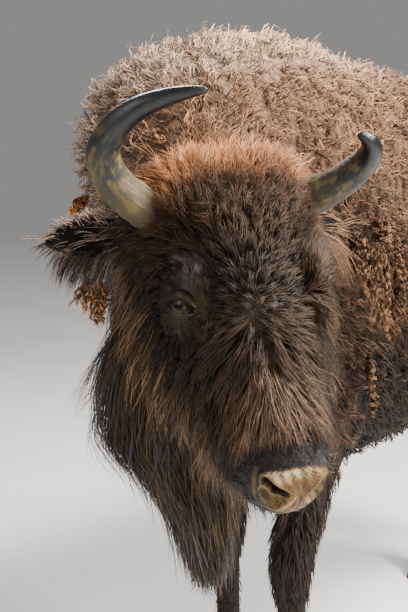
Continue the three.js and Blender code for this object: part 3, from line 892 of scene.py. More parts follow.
# ---------------------------------------------------------------------------------------------------------
# Hooves. Two claws of ringed black horn under each foot, flat on the ground, and two dewclaws behind it.
# A claw is a stack of ovals, and a dewclaw is a short bent tube.
# ---------------------------------------------------------------------------------------------------------
# Each foot's side, its distance from the middle line and how far it stands behind the withers
FEET = {("fore", "left"): (1, 0.142, -0.078), ("fore", "right"): (-1, 0.142, 0.040),
        ("hind", "left"): (1, 0.150, 1.205), ("hind", "right"): (-1, 0.150, 1.120)}


def hoof_rings(first):
    return stretched(place(first), (14.0, 14.0, 260.0), 3)


def hoof_colour(first):
    """Black-brown horn with paler level growth rings, and dust near the ground."""
    horn = hoof_rings(first).hues((0.3, 24, 20, 18), (0.6, 42, 36, 30), (0.8, 64, 55, 45))
    dust = noise(first, 60, 4).hues((0.0, 108, 92, 72), (1.0, 128, 110, 88))
    low = place(first).part(2).spread(0.02, 0.0, 0.0, 0.4)
    return dust.over(horn, low * noise(first, 90, 4).spread(0.35, 0.6))


def hoof_bump(first):
    return hoof_rings(first) * 0.0016 + noise(first, 500, 3) * 0.0004


def squarish(value):
    """A cosine or sine drawn out so that the oval it makes has fuller corners: its power 0.8."""
    return np.sign(value) * np.abs(value) ** (2 / 2.5)


hoof_finish = finish("hoof", hoof_colour, wandering(120, 0.38, 0.62), hoof_bump)
CLAW_HEIGHT, CLAW_COLUMNS = 0.071, 36
# Shares down the claw, and how far its section has opened at each: it closes at the top and at the sole
CLAW_ROWS = np.array([0, 0, 0.03, 0.08, 0.16, 0.25, 0.34, 0.43, 0.52, 0.61, 0.70, 0.79, 0.87, 0.93, 0.97,
                      0.99, 1, 1, 1])
CLAW_OPEN = np.array([0, 0.7, 0.93, 1, 1.01, 1, 1, 1, 1, 1, 1, 1, 1, 1, 1, 0.985, 0.95, 0.6, 0])
# sideways, forward and back, top and sole
CLAW_REACH = [(0.0185, 0.0222), (0.037, 0.0595), (0.034, 0.0355)]
SPUR = [[0, -0.014, 0.014], [0, 0.003, 0], [0, 0.008, -0.022]]
for (end, word), (side, track, behind) in FEET.items():
    for half, out in (("outer", 1), ("inner", -1)):
        # A claw: height by angle around, an oval drawn forward at the toe as it goes down
        x, y = side * (track + out * 0.0235) + WITHERS[0], behind - 0.022 + WITHERS[1]
        spin = circle(CLAW_COLUMNS)
        down = CLAW_ROWS[:, None]
        wide, front, rear = (np.interp(down, [0, 1], ends) * CLAW_OPEN[:, None] for ends in CLAW_REACH)
        toe = 1 - 0.10 * (np.sin(spin) < 0) * np.abs(np.sin(spin))
        px = x + wide * squarish(np.cos(spin)) * toe
        py = y + (0.006 - 0.019 * down) + np.where(np.sin(spin) > 0, rear, front) * squarish(np.sin(spin))
        pz = CLAW_HEIGHT * (1 - down) * (1 + 0.05 * np.sin(spin) * (down < 0.3))
        points = np.stack([px, py, pz], -1).reshape(-1, 3)
        faces = outward_faces(points - points.mean(0), closed_grid(len(down), CLAW_COLUMNS))
        claw = merge_ends(build(f"claw_{end}_{word}_{half}", points, [faces]))
        share = np.linspace(0, 1, 16)
        root = [side * (track + out * 0.020) + WITHERS[0], behind + 0.048 + WITHERS[1], 0.118]
        radii = np.interp(share, [0, 0.4, 0.85, 1], [0.007, 0.0108, 0.0075, 0.003])
        points, faces, *_ = tube(curve(SPUR, share) + root, radii, 18)
        dewclaw = merge_ends(build(f"spur_{end}_{word}_{half}", points, [faces]))
        for piece, node in ((claw, "hoof"), (dewclaw, "dewclaw")):
            piece.data.materials.append(hoof_finish)
            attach(piece, "root")
            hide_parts(f"{node}_{end}_{word}_{half}")

# ---------------------------------------------------------------------------------------------------------
# Coat of the face. Most of the coat is laid in locks: a guide hair is combed over the hide along the lie
# of the coat, and a few tapered strands of three sides run beside it and close in towards its tip. On the
# face the hair spreads from a whorl between the eyes, falls long down the nose, and stops at the muzzle.
# ---------------------------------------------------------------------------------------------------------
DROP = np.array([-0.059, -0.809, -0.585])  # straight down, in the head's frame


def unwrap(piece):
    """Gives a piece an unwrap of its own shape, and returns one place on it for each point."""
    for other in bpy.context.selected_objects:
        other.select_set(False)
    bpy.context.view_layer.objects.active = piece
    piece.select_set(True)
    bpy.ops.object.mode_set(mode="EDIT")
    bpy.ops.mesh.select_all(action="SELECT")
    bpy.ops.uv.smart_project(angle_limit=1.15, island_margin=0.002)
    bpy.ops.object.mode_set(mode="OBJECT")
    layer = piece.data.uv_layers[0]
    layer.name = "OFBake"
    places = np.zeros((len(piece.data.vertices), 2))
    places[fetch(piece.data.loops, "vertex_index")] = fetch(layer.data, "uv", 2, np.float32)
    return places


def lie_of_coat(points, out):
    """The way the coat lies at each point, along the hide: back along the trunk, down the flanks and
    legs, back and down the neck, and on the head away from the whorl, drooping at the sides."""
    h, b = to_head(points), points - WITHERS
    way = blend(np.array([0.0, 1.0, -0.25]), np.array([0.0, 0.6, -0.8]),
                ramp(np.abs(out[:, 0]), 0.3, 0.95) * 0.7)
    way = blend(way, np.array([-0.42, 0.62, -0.55]), ramp(b[:, 1], 0.0, -0.35))
    way = blend(way, np.array([0.0, 0.15, -1.0]), ramp(b[:, 1], -0.1, -0.35) * ramp(b[:, 2], 1.30, 1.05))
    way = blend(way, np.array([0.0, 0.25, -1.0]), ramp(b[:, 1], 1.05, 1.25))
    way = blend(way, np.array([0.0, 0.12, -1.0]), ramp(b[:, 2], 0.85, 0.66) * ramp(out[:, 2], -0.8, -0.5))
    low = ramp(h[:, 2], 0.06, -0.07)
    face = unit(h - WHORL) * (1 - 0.75 * low)[:, None] + DROP * (0.85 * low)[:, None]
    face = blend(face, np.array([0.0, 0.55, -0.7]), ramp(h[:, 1], -0.425, -0.45))
    for centre in EYE_CENTRES.values():  # round the eyes the hair turns aside and leaves the lids clear
        away = h - centre
        gap = np.linalg.norm(away, axis=1)
        face = face + away / gap[:, None] * (1.3 * ramp(gap, 0.085, 0.040))[:, None]
    way = blend(way, face @ HEAD_AXES.T, head_share(points))
    return unit(way - out * (way * out).sum(1)[:, None])


skin_out = normals_of(skin, quads)
skin_lie = relax(lie_of_coat(skin, skin_out), edges, 3)
skin_map = unwrap(hide)
for leaf, faces, toward, _, side in ears.values():
    over = (leaf - leaf.mean(0)) @ side
    fan = (toward / np.linalg.norm(toward)
           + 0.9 * side * np.sign(over)[:, None] * (np.abs(over) / 0.04)[:, None])
    skin, skin_lie = np.concatenate([skin, leaf]), np.concatenate([skin_lie, fan])
    skin_out = np.concatenate([skin_out, normals_of(leaf, faces)])
    skin_map = np.concatenate([skin_map, np.tile(skin_map[:1], (len(leaf), 1))])
skin_lie = unit(skin_lie - skin_out * (skin_lie * skin_out).sum(1)[:, None])

# The nearest point of the hide to each cell of a grid: points seed their own cells, and each pass hands the
# nearest one found on to the six cells beside
CELL, MARGIN, PASSES = 0.016, 0.13, 7
corner = skin.min(0) - MARGIN
owner = np.full(np.ceil((skin.max(0) + MARGIN - corner) / CELL).astype(int), -1, np.int32)
owner[tuple(((skin - corner) / CELL).astype(int).T)] = np.arange(len(skin))
middles = [corner[k] + (np.arange(owner.shape[k]) + 0.5) * CELL for k in range(3)]


def gap_to(index):
    """The square of the distance from each cell's middle to the point it names."""
    gap = np.zeros(index.shape, np.float32)
    for k in range(3):
        shape = [1, 1, 1]
        shape[k] = -1
        gap += (middles[k].reshape(shape).astype(np.float32) - skin[:, k].astype(np.float32)[index]) ** 2
    gap[index < 0] = 1e9
    return gap


known = gap_to(owner)
for _ in range(PASSES):
    for k in range(3):
        for step in (1, -1):
            other = np.roll(owner, step, k)
            gap = gap_to(other)
            better = gap < known
            owner[better], known[better] = other[better], gap[better]


def nearest(points):
    """The number of the hide's point that is nearest to each place, as its cell tells."""
    cell = np.clip(((points - corner) / CELL).astype(int), 0, np.array(owner.shape) - 1)
    return np.maximum(owner[tuple(cell.T)], 0)


def choose(weights, number, rng):
    """Random picks in proportion to weights: equal steps along their running total, each jittered within
    its step. Returns the picks and the total."""
    running = np.cumsum(weights)
    steps = (np.arange(number) + rng.random(number)) / number * running[-1]
    return np.searchsorted(running, steps).clip(0, len(weights) - 1), running[-1]


def scatter(share, number, rng):
    """Roots spread over the hide in proportion to area times share, each at a random place in its face,
    and the radius of the circle that each root has to itself."""
    corners = skin[quads]
    diagonals = corners[:, 2] - corners[:, 0], corners[:, 3] - corners[:, 1]
    area = np.linalg.norm(np.cross(*diagonals), axis=1) / 2
    chosen, total = choose(area * share(corners.mean(1)), number, rng)
    u, v = rng.random((2, number, 1))
    a, b, c, d = (corners[chosen, k] for k in range(4))
    roots = a * (1 - u) * (1 - v) + b * u * (1 - v) + c * u * v + d * (1 - u) * v
    return roots, np.sqrt(total / number / np.pi)


def comb(at, length, height, droop, steps, stray, arch):
    """Guide hairs. Each takes equal steps along the lie of the coat under it, turned by its own stray
    angle, climbing or sinking to the height it should have, and bent towards the ground by its droop.
    The height grows as the sine of the share of the way, up to a quarter turn, or further where the
    hair arches over."""
    path, out = [at], [skin_out[nearest(at)]]
    for k in range(steps):
        i = nearest(at)
        normal = skin_out[i]
        ahead = (skin_lie[i] * np.cos(stray)[:, None] + np.cross(normal, skin_lie[i])
                 * np.sin(stray)[:, None])
        over = ((at - skin[i]) * normal).sum(1)
        wanted = height * np.sin(min(1.0, (k + 1) / steps * 1.25) * np.pi / 2 * (1 + 0.75 * arch))
        climb = np.clip((wanted - over) / (length / steps), -0.6, 1.6)
        at = (at + unit(ahead + normal * climb[:, None] + droop[:, None] * [0, 0, -1])
              * (length / steps)[:, None])
        path.append(at)
        out.append(normal)
    return np.stack(path, 1), np.stack(out, 1)


PATCH = 0.003  # the side of each strand's patch on the bake map


def strands(name, path, out, width, colour):
    """A mesh of closed tapered strands from their centre lines (strand, step, xyz): at each step but
    the last a triangle across the line, two corners at its sides and one above, and at the last the
    tip."""
    count, steps = path.shape[0], path.shape[1]
    ahead = unit(np.gradient(path, axis=1))
    side = unit(np.cross(ahead, out))
    above = np.cross(side, ahead)
    taper = np.interp(np.linspace(0, 1, steps), [0, 0.25, 0.6, 0.85, 1], [0.55, 1, 0.85, 0.5, 0.2])
    wide = (width[:, None] * taper)[..., None]
    rings = np.stack([path + side * wide, path + above * wide * 0.75, path - side * wide], 2)[:, :-1]
    points = np.concatenate([rings.reshape(count, -1, 3), path[:, -1:]], 1)
    each = points.shape[1]
    sides = closed_grid(steps - 1, 3)
    last = 3 * (steps - 2)
    ends = np.array([[last, each - 1, last + 1], [last + 1, each - 1, last + 2],
                     [last + 2, each - 1, last], [0, 1, 2]])
    base = (np.arange(count) * each)[:, None, None]
    faces = [(sides + base).reshape(-1, 4), (ends + base).reshape(-1, 3)]
    piece = build(name, points.reshape(-1, 3), faces)
    shade = np.concatenate([np.repeat(colour[:, :-1], 3, 1), colour[:, -1:]], 1)
    tint(piece, shade.reshape(-1, 3))
    along, over = np.repeat(np.arange(steps - 1), 3) / steps, np.tile([0, 0.5, 1], steps - 1)
    spot = np.concatenate([np.stack([over, along], 1), [[0.5, 1]]]) * PATCH
    flat = (skin_map[nearest(path[:, 0])][:, None] + spot[None]).reshape(-1, 2)
    layer = piece.data.uv_layers.new(name="OFBake")
    layer.data.foreach_set("uv",
                           flat[np.concatenate([f.ravel() for f in faces])].astype(np.float32).ravel())
    piece.data.materials.append(hair_finish)
    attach(piece, "root")


def hair_colour(first):
    """The stored colour of each strand, with darker and lighter streaks and a little dust."""
    streak = noise(first, 260, 4).spread(0.3, 0.7, 0.78, 1.2)
    cloud = noise(first, 22, 3).spread(0.3, 0.7, 0.9, 1.1)
    return (streak * cloud).grey().over(own_tint(first), 1.0, "MULTIPLY")


hair_finish = finish("hair", hair_colour, wandering(120, 0.48, 0.72), Specular_IOR_Level=0.24)


def value(of, points):
    """A number, or a function of place, as one value for each point."""
    return of(points) if callable(of) else np.full(len(points), float(of))


def coat(name, share, locks, each, length, height, width, droop=0.0, steps=4, close=0.6, stray=0.25,
         wave=0.0, waves=1.0, colour=markings, light=(0.78, 1.28), root=0.5, tip=1.25, arch=0.0,
         loose=0.07, seed=1):
    """One piece of coat. A number of locks, with so many strands each, grows where `share` says. Lengths,
    heights, widths, droop and wave are numbers or functions of the root's place. Strands start round their
    guide's root and close in on it by `close` at the tip, and a wave swings them in a helix."""
    rng = np.random.default_rng(seed)
    at, ring = scatter(share, locks, rng)
    long = value(length, at) * rng.uniform(0.75, 1.2, locks)
    guide, out = comb(at, long, value(height, at) * rng.uniform(0.55, 1.0, locks), value(droop, at),
                      steps, rng.normal(0, stray, locks), arch)
    number = locks * each
    g = np.repeat(np.arange(locks), each)
    around, off = rng.random(number) * 2 * np.pi, ring * 1.2 * np.sqrt(rng.random(number))
    i = nearest(guide[g, 0])
    across = np.cross(skin_out[i], skin_lie[i])
    start = (guide[g, 0] + (np.cos(around) * off)[:, None] * across + (np.sin(around) * off)[:, None]
             * skin_lie[i])
    i = nearest(start)
    start -= skin_out[i] * (((start - skin[i]) * skin_out[i]).sum(1) + 0.0008)[:, None]
    t = np.linspace(0, 1, steps + 1)
    trim = rng.uniform(0.6, 1.0, number)
    when = t[None] * trim[:, None] * steps
    k = np.minimum(when.astype(int), steps - 1)
    f = (when - k)[..., None]
    line = guide[g[:, None], k] * (1 - f) + guide[g[:, None], k + 1] * f
    up = unit(out[g[:, None], k] * (1 - f) + out[g[:, None], k + 1] * f)
    line = line + (start - guide[g, 0])[:, None] * (1 - close * t[None, :, None] ** 0.8)
    astray = rng.normal(size=(number, 3)) * (long[g] * loose)[:, None]
    line = (line + astray[:, None] * t[None, :, None] ** 1.6
            + up * (np.abs(rng.normal(0, 0.18, number)) * value(height, at)[g])[:, None, None]
            * t[None, :, None])
    swing = value(wave, at)[g]
    if np.any(swing > 0):
        ahead = unit(np.gradient(line, axis=1))
        phase = ((rng.random(locks) * 6.3)[g][:, None] + rng.normal(0, 0.5, number)[:, None]
                 + 2 * np.pi * value(waves, at)[g][:, None] * t[None])
        sideways = np.cross(up, ahead)
        line = (line + (swing[:, None] * ramp(t, 0, 0.35)[None])[..., None]
                * (np.cos(phase)[..., None] * sideways + 0.7 * np.sin(phase)[..., None] * up))
    tone = (rng.uniform(*light, locks)[g] * rng.uniform(0.85, 1.18, number))[:, None, None]
    # Each strand runs from `root` times its colour at the root to `tip` times it at the tip: the dark roots
    # are painted shade deep in the coat.
    deep = value(root, start)[:, None, None]
    shade = colour(start)[:, None] * tone * (deep + (tip - deep) * t[None, :, None] ** 0.7)
    thick = value(width, at)[g] * rng.uniform(0.7, 1.3, number)
    strands(name, line, up, thick, shade)


def clear_of(points, places, start, end):
    """0 within `start` of any of the places in the head's frame, and 1 beyond `end`."""
    h = to_head(points)
    share = np.ones(len(points))
    for spot in places:
        share *= ramp(apart(h, spot), start, end)
    return share


HORN_ROOTS = [[-0.140, 0.0, 0.016], [0.140, -0.004, 0.018]]
EYES = list(EYE_CENTRES.values())


def eye_gap(points):
    """How far each point is from the middle of the nearer eye."""
    h = to_head(points)
    return np.minimum(*[apart(h, centre) for centre in EYES])


def face_share(points):
    """Where the hair of the face grows: clear of the muzzle, crown, lids and horn roots."""
    y = to_head(points)[:, 1]
    return (head_share(points) * ramp(y, -0.436, -0.418) * ramp(y, -0.02, -0.09)
            * clear_of(points, EYES, 0.036, 0.046) * clear_of(points, HORN_ROOTS, 0.034, 0.042))


def face_length(points):
    """Short round the eyes, whorl and muzzle, and long down the nose and on the cheeks."""
    h = to_head(points)
    long = 0.042 + 0.046 * ramp(h[:, 1], -0.22, -0.30) + 0.060 * ramp(h[:, 2], -0.06, -0.15)
    long = long * (0.62 + 0.38 * ramp(apart(h, WHORL), 0.0, 0.05))
    reach = np.maximum(h[:, 1] + 0.448, 0.012)
    long = np.where(h[:, 2] > -0.02, np.minimum(long, reach), long)
    return long * (0.22 + 0.78 * ramp(eye_gap(points), 0.036, 0.078))


def face_height(points):
    return np.minimum(coat_depth(points) * 0.85, face_length(points) * 0.45)


def face_width(points):
    return 0.0005 + 0.0004 * ramp(eye_gap(points), 0.04, 0.08)


def face_droop(points):
    return 0.06 + 0.6 * ramp(to_head(points)[:, 2], -0.06, -0.17)


def face_root(points):
    """How dark the roots are, as painted shade deep in the coat: less so at the whorl, where they show."""
    return 0.42 + 0.4 * ramp(np.linalg.norm(to_head(points) - WHORL, axis=1), 0.08, 0.015)


coat("coat_brow", lambda p: face_share(p) * ramp(to_head(p)[:, 1], -0.25, -0.21), 1900, 7,
     face_length, face_height, face_width, droop=face_droop, steps=2, close=0.6, stray=0.35, wave=0.001,
     light=(0.62, 1.42), root=face_root, tip=1.3, seed=11)
coat("coat_nose", lambda p: face_share(p) * ramp(to_head(p)[:, 1], -0.21, -0.25), 1550, 8,
     face_length, face_height, face_width, droop=face_droop, steps=3, close=0.66, stray=0.15, wave=0.0016,
     waves=0.8, light=(0.45, 1.75), root=face_root, tip=1.45, seed=14)


def cheek_share(points):
    """Where the long hair of the cheeks and jaw grows."""
    _, y, z = to_head(points).T
    side = head_share(points) * ramp(z, -0.015, -0.07) * ramp(y, -0.43, -0.35) * ramp(y, 0.05, -0.02)
    return side * clear_of(points, EYES, 0.052, 0.064)


def cheek_colour(points):
    """Blackish brown, with some locks browner and some bluish grey as painted sheen, and darker on the left
    side.
    """
    browner = blend(paint(50, 38, 28), paint(116, 92, 68), ramp(soft(points, 0.030, 23), -0.3, 0.8))
    bluish_sheen = ramp(soft(points, 0.028, 24), 0.35, 1.0) * ramp(to_head(points)[:, 1], -0.22, -0.30) * 0.7
    return (blend(browner, paint(84, 82, 88), bluish_sheen)
            * (1 - 0.5 * ramp(to_head(points)[:, 0], 0.0, 0.07))[:, None])


coat("coat_cheek", cheek_share, 900, 7,
     lambda p: 0.095 + 0.05 * ramp(to_head(p)[:, 2], -0.07, -0.16),
     lambda p: 0.036 + 0.030 * ramp(to_head(p)[:, 2], -0.04, -0.12), 0.0008, droop=0.85, steps=4,
     close=0.62, stray=0.25, wave=0.004, waves=0.8, colour=cheek_colour, light=(0.45, 1.8), root=0.4,
     tip=1.6, loose=0.09, seed=15)


def far_brow(points):
    """The brow and temple above the left eye, whose long hair hangs over the eye."""
    h = to_head(points)
    return ramp(np.linalg.norm((h - [0.098, -0.190, 0.052]) / [1.0, 1.5, 1.0], axis=1), 0.042, 0.026)


def far_brow_colour(points):
    """Dark brown, with painted rim light on some locks towards the temple, along the far edge of the face.
    """
    temple_rim_light = ramp(soft(points, 0.02, 26) + 25 * (to_head(points)[:, 0] - 0.115), -0.3, 0.9)
    return blend(paint(58, 42, 30), paint(104, 80, 62), temple_rim_light)


coat("coat_far_brow", far_brow, 230, 7, 0.066, 0.036, 0.0009, droop=0.1, steps=4, close=0.5,
     stray=0.4, wave=0.003, colour=far_brow_colour, light=(0.6, 1.5), root=0.5, tip=1.3, seed=16)


def muzzle_share(points):
    """Where the short hair round the nose grows: clear of the pad, nostrils and lips."""
    h = to_head(points)
    haired = 1 - pad_share(h)
    for side in (-1, 1):
        pit, scoop, outer, _ = nostril(h, side)
        haired *= ramp(pit, 1.2, 1.7)
        haired *= ramp(scoop, 1.15, 1.4)
        haired *= ramp(outer, 0.3, 1.2)
    lips = from_line(h, LIPS, LIP_RADII)
    return (head_share(points) * ramp(h[:, 1], -0.39, -0.42) * haired * ramp(lips, 0.8, 1.3)
            * (1 - 0.85 * ramp(lips, 2.8, 2.2) * ramp(h[:, 1], -0.44, -0.46)))


def muzzle_length(points):
    _, y, z = to_head(points).T
    return 0.005 + 0.015 * ramp(y, -0.47, -0.42) + 0.022 * ramp(z, -0.02, -0.07) * ramp(y, -0.50, -0.44)


def muzzle_colour(points):
    """Near-black, with bluish grey on the sides as painted sheen, and golden specks on the top of the nose.
    """
    grey = blend(markings(points), paint(80, 82, 94),
                 ramp(soft(points, 0.03, 21), 0.0, 0.9) * ramp(to_head(points)[:, 2], 0.03, 0.0) * 0.7)
    return blend(grey, paint(110, 84, 46),
                 ramp(soft(points, 0.006, 25), 0.5, 1.0) * ramp(to_head(points)[:, 2], 0.03, 0.04) * 0.6)


coat("coat_muzzle", muzzle_share, 1700, 3, muzzle_length, lambda p: muzzle_length(p) * 0.25,
     0.0005, droop=0.15, steps=2, close=0.5, stray=0.2, colour=muzzle_colour, root=0.6, tip=1.4, seed=12)
coat("coat_lids", lambda p: head_share(p) * ramp(eye_gap(p), 0.0285, 0.031)
     * ramp(eye_gap(p), 0.056, 0.048), 620, 3, 0.010, 0.0022, 0.0005, steps=2, close=0.4, stray=0.3,
     colour=lambda p: blend(markings(p), paint(82, 70, 50), ramp(soft(p, 0.02, 22), -0.3, 0.8)), root=0.7,
     tip=1.25, seed=13)
coat("whiskers", lambda p: muzzle_share(p) * ramp(to_head(p)[:, 2], 0.0, -0.03), 70, 1,
     0.042, 0.030, 0.00028, droop=0.2, steps=4, close=0.0, stray=0.6,
     colour=lambda p: np.tile(paint(120, 104, 88), (len(p), 1)), root=0.8, tip=1.0, seed=17)

# Eyelashes stand out from the upper lid's edge and bend down
LASHES, LASH_STEPS = 64, 5
for side, word in SIDES.items():
    rng = np.random.default_rng(18)
    spin = np.radians(rng.uniform(25, 150, LASHES))
    lean = np.radians(opening(np.cos(spin), np.sin(spin)) + 2.0)
    axes = np.cos(spin)[:, None] * CORNER[side] + np.sin(spin)[:, None] * UPWARD[side]
    way = np.cos(lean)[:, None] * GAZE[side] + np.sin(lean)[:, None] * axes
    t = np.linspace(0, 1, LASH_STEPS)[None, :, None]
    long = rng.uniform(0.008, 0.014, LASHES)[:, None, None]
    hairs = ((EYE_CENTRES[side] + way * (EYE_RADIUS + 0.0022))[:, None]
             + long * (0.5 * way[:, None] * t + 0.8 * axes[:, None] * t**2 + 0.9 * DROP * t**2))
    rows = from_head(hairs.reshape(-1, 3)).reshape(hairs.shape)
    strands(f"lashes_{word}", rows, np.repeat((way @ HEAD_AXES.T)[:, None], LASH_STEPS, 1),
            np.full(LASHES, 0.00028), np.tile(paint(30, 24, 19), (LASHES, LASH_STEPS, 1)))

# ---------------------------------------------------------------------------------------------------------
# Forelock and crown. A thick curly mat between the horns, faded to orange-brown at the top, and painted
# lighter there as lit from above. Its locks stray widely and stand a little over the coat's depth.
# ---------------------------------------------------------------------------------------------------------


def crown_share(points):
    """Where the mat between the horns grows."""
    y = to_head(points)[:, 1]
    return head_share(points) * ramp(y, -0.12, -0.05) * clear_of(points, HORN_ROOTS, 0.034, 0.040)


coat("coat_crown", crown_share, 1300, 7,
     lambda p: 0.055 + 0.025 * ramp(to_head(p)[:, 1], -0.02, 0.06), lambda p: coat_depth(p) * 1.05,
     0.0008, droop=0.0, steps=3, close=0.55, stray=0.6, wave=0.004, waves=1.0, light=(0.55, 1.5),
     root=0.42, tip=1.4, loose=0.1, seed=21)

# ---------------------------------------------------------------------------------------------------------
# Beard. Long plumb hair from the jaw and throat round a core of dark underwool, blackish and lank. Core
# and hair each follow ovals down a line of their own.
# ---------------------------------------------------------------------------------------------------------
# Rows down the beard: x, y and z from the foot of the withers, then two half widths, all in mm
BEARD = (np.array([[276, -612, 1095, 100, 84], [270, -614, 1010, 122, 93], [268, -614, 945, 130, 90],
                   [300, -618, 880, 96, 71], [336, -622, 830, 60, 51], [352, -626, 775, 38, 33],
                   [362, -632, 722, 17, 15]]) / 1000)
BEARD_HAIR = (np.array([[262, -598, 1195, 102, 80], [268, -606, 1135, 124, 88],
                        [272, -612, 1065, 144, 92], [270, -614, 1000, 144, 94], [273, -614, 945, 132, 90],
                        [290, -617, 900, 88, 72], [316, -620, 858, 66, 58], [338, -623, 815, 48, 44],
                        [352, -627, 770, 36, 31], [362, -632, 722, 15, 14]]) / 1000)
BEARD_SIDE, BEARD_BACK = unit(np.array([0.77, 0.64, 0.0])), unit(np.array([-0.64, 0.77, 0.0]))


def in_beard(down, angle, share, rows=BEARD):
    """A place in the beard: so far down it from 0 to 1, at an angle round it, and at a share of its
    radius."""
    row = curve(rows, down)
    return (WITHERS + row[:, :3] + (np.cos(angle) * row[:, 3] * share)[:, None] * BEARD_SIDE
            + (np.sin(angle) * row[:, 4] * share)[:, None] * BEARD_BACK)


CORE_ROWS, CORE_COLUMNS = 30, 40
down, angle = pairs(np.linspace(0, 0.93, CORE_ROWS), circle(CORE_COLUMNS))
core = in_beard(down, angle,
                (0.66 + 0.05 * np.sin(angle * 7 + down * 9))
                * np.where((down == 0) | (down > 0.92), 0, 1))
core_faces = outward_faces(core - core.mean(0), closed_grid(CORE_ROWS, CORE_COLUMNS))
beard = merge_ends(build("beard_core", core, [core_faces]))
tint(beard, np.tile(paint(24, 19, 16), (len(beard.data.vertices), 1)))
beard.data.materials.append(finish("underwool", hair_colour, wandering(90, 0.8, 0.95),
                                   lambda first: noise(first, 240, 4) * 0.004))
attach(beard, "root")
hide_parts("beard")

rng = np.random.default_rng(31)
locks, each, steps = 940, 7, 4
number, g = locks * each, np.repeat(np.arange(locks), each)
start, angle = ((rng.random(locks) ** 1.3 * 0.78)[g], (rng.random(locks) * 2 * np.pi)[g]
                + rng.normal(0, 0.06, number))
deep = rng.uniform(0.62, 1.0, locks)[g] * rng.uniform(0.92, 1.05, number)
run = rng.uniform(0.22, 0.44, locks)[g] * rng.uniform(0.7, 1.15, number)
flare = (0.8 * rng.random(locks) ** 2.5)[g] * rng.uniform(0.5, 1.2, number)
t = np.linspace(0, 1, steps + 1)
sway = (rng.normal(0, 0.12, locks)[g], rng.random(locks)[g] * 6.3)
line = np.stack([in_beard(np.minimum(start + run * s, 1.0),
                          angle + sway[0] * s + 0.05 * np.sin(sway[1] + 5 * s),
                          deep * (0.92 + 0.10 * np.sin(3.1 * s) + flare * s**2), BEARD_HAIR)
                 for s in t], 1)
centre = np.stack([np.bincount(g, line[:, k, c]) / each for k in range(steps + 1) for c in range(3)],
                  1).reshape(locks, steps + 1, 3)
line = (line + (centre[g] - line) * (0.6 * t[None, :, None]) + rng.normal(size=(number, 3))[:, None]
        * 0.013 * t[None, :, None] ** 1.5)
line[..., 2] -= 0.022 * t * rng.random((number, 1))
up = unit(line - in_beard(start, angle, 0 * deep, BEARD_HAIR)[:, None])
hue = blend(paint(44, 35, 28), paint(98, 80, 62), rng.random(locks) ** 2.2)
# Painted sheen: about one lock in six is bluish grey, for the light's sheen on dark hair.
hue = blend(hue, paint(84, 84, 92), (rng.random(locks) < 0.16) * 0.8)
# Darker towards the roots, as painted shade deep in the beard.
shade = hue[g][:, None] * rng.uniform(0.65, 1.4, number)[:, None, None] * (0.6 + 0.65 * t[None, :, None])
strands("coat_beard", line, up, rng.uniform(0.0006, 0.0013, number), shade)


def throat_share(points):
    """Where the hanging hair under the jaw and throat grows."""
    h, b = to_head(points), points - WITHERS
    jaw = head_share(points) * ramp(h[:, 2], -0.13, -0.18) * ramp(h[:, 1], -0.40, -0.34)
    throat = ((1 - head_share(points)) * ramp(b[:, 1], -0.36, -0.46) * ramp(b[:, 2], 1.30, 1.20)
              * ramp(b[:, 2], 0.55, 0.7))
    return np.maximum(jaw, throat)


coat("coat_throat", throat_share, 640, 6, 0.125, 0.036, 0.0012, droop=0.7, steps=4,
     close=0.7, stray=0.2, wave=0.002, light=(0.65, 1.35), root=0.5, tip=1.2, seed=32)

# ---------------------------------------------------------------------------------------------------------
# Wool of the neck, hump and shoulders. Deep, matted and curly, with pale worn tips. Its locks arch over
# and swing in a helix, and matted clumps of shed wool hang over it.
# ---------------------------------------------------------------------------------------------------------


def on_body(points):
    b = points - WITHERS
    return (1 - head_share(points)) * ramp(b[:, 2], 0.60, 0.68)


def wool_share(points):
    """Where the wool grows: the front half of the body above the legs, with an uneven edge."""
    b = points - WITHERS
    return (on_body(points) * ramp(b[:, 1] + 0.06 * soft(points, 0.2, 7), 0.62, 0.42)
            * ramp(b[:, 2], 0.78, 0.92))


def wool_curl(points):
    return 0.003 + 0.004 * ramp(points[:, 2], 1.0, 1.4)


def wool_height(points):
    """The coat's depth, more and less by clumps."""
    return coat_depth(points) * (0.84 + 0.55 * soft(points, 0.075, 9))


coat("wool_hump", lambda p: wool_share(p) * ramp((p - WITHERS)[:, 2], 1.22, 1.30), 2250, 3, 0.052,
     wool_height, 0.0016, droop=0.05, steps=4, close=0.8, stray=0.8, wave=wool_curl, waves=1.5,
     light=(0.4, 1.55), root=0.24, tip=1.6, arch=1.0, seed=41)
coat("wool_shoulder", lambda p: wool_share(p) * ramp((p - WITHERS)[:, 2], 1.30, 1.22), 1850, 3,
     0.054, wool_height, 0.0018, droop=0.15, steps=4, close=0.8, stray=0.6, wave=wool_curl, waves=1.4,
     light=(0.4, 1.6), root=0.26, tip=1.5, arch=1.0, seed=42)

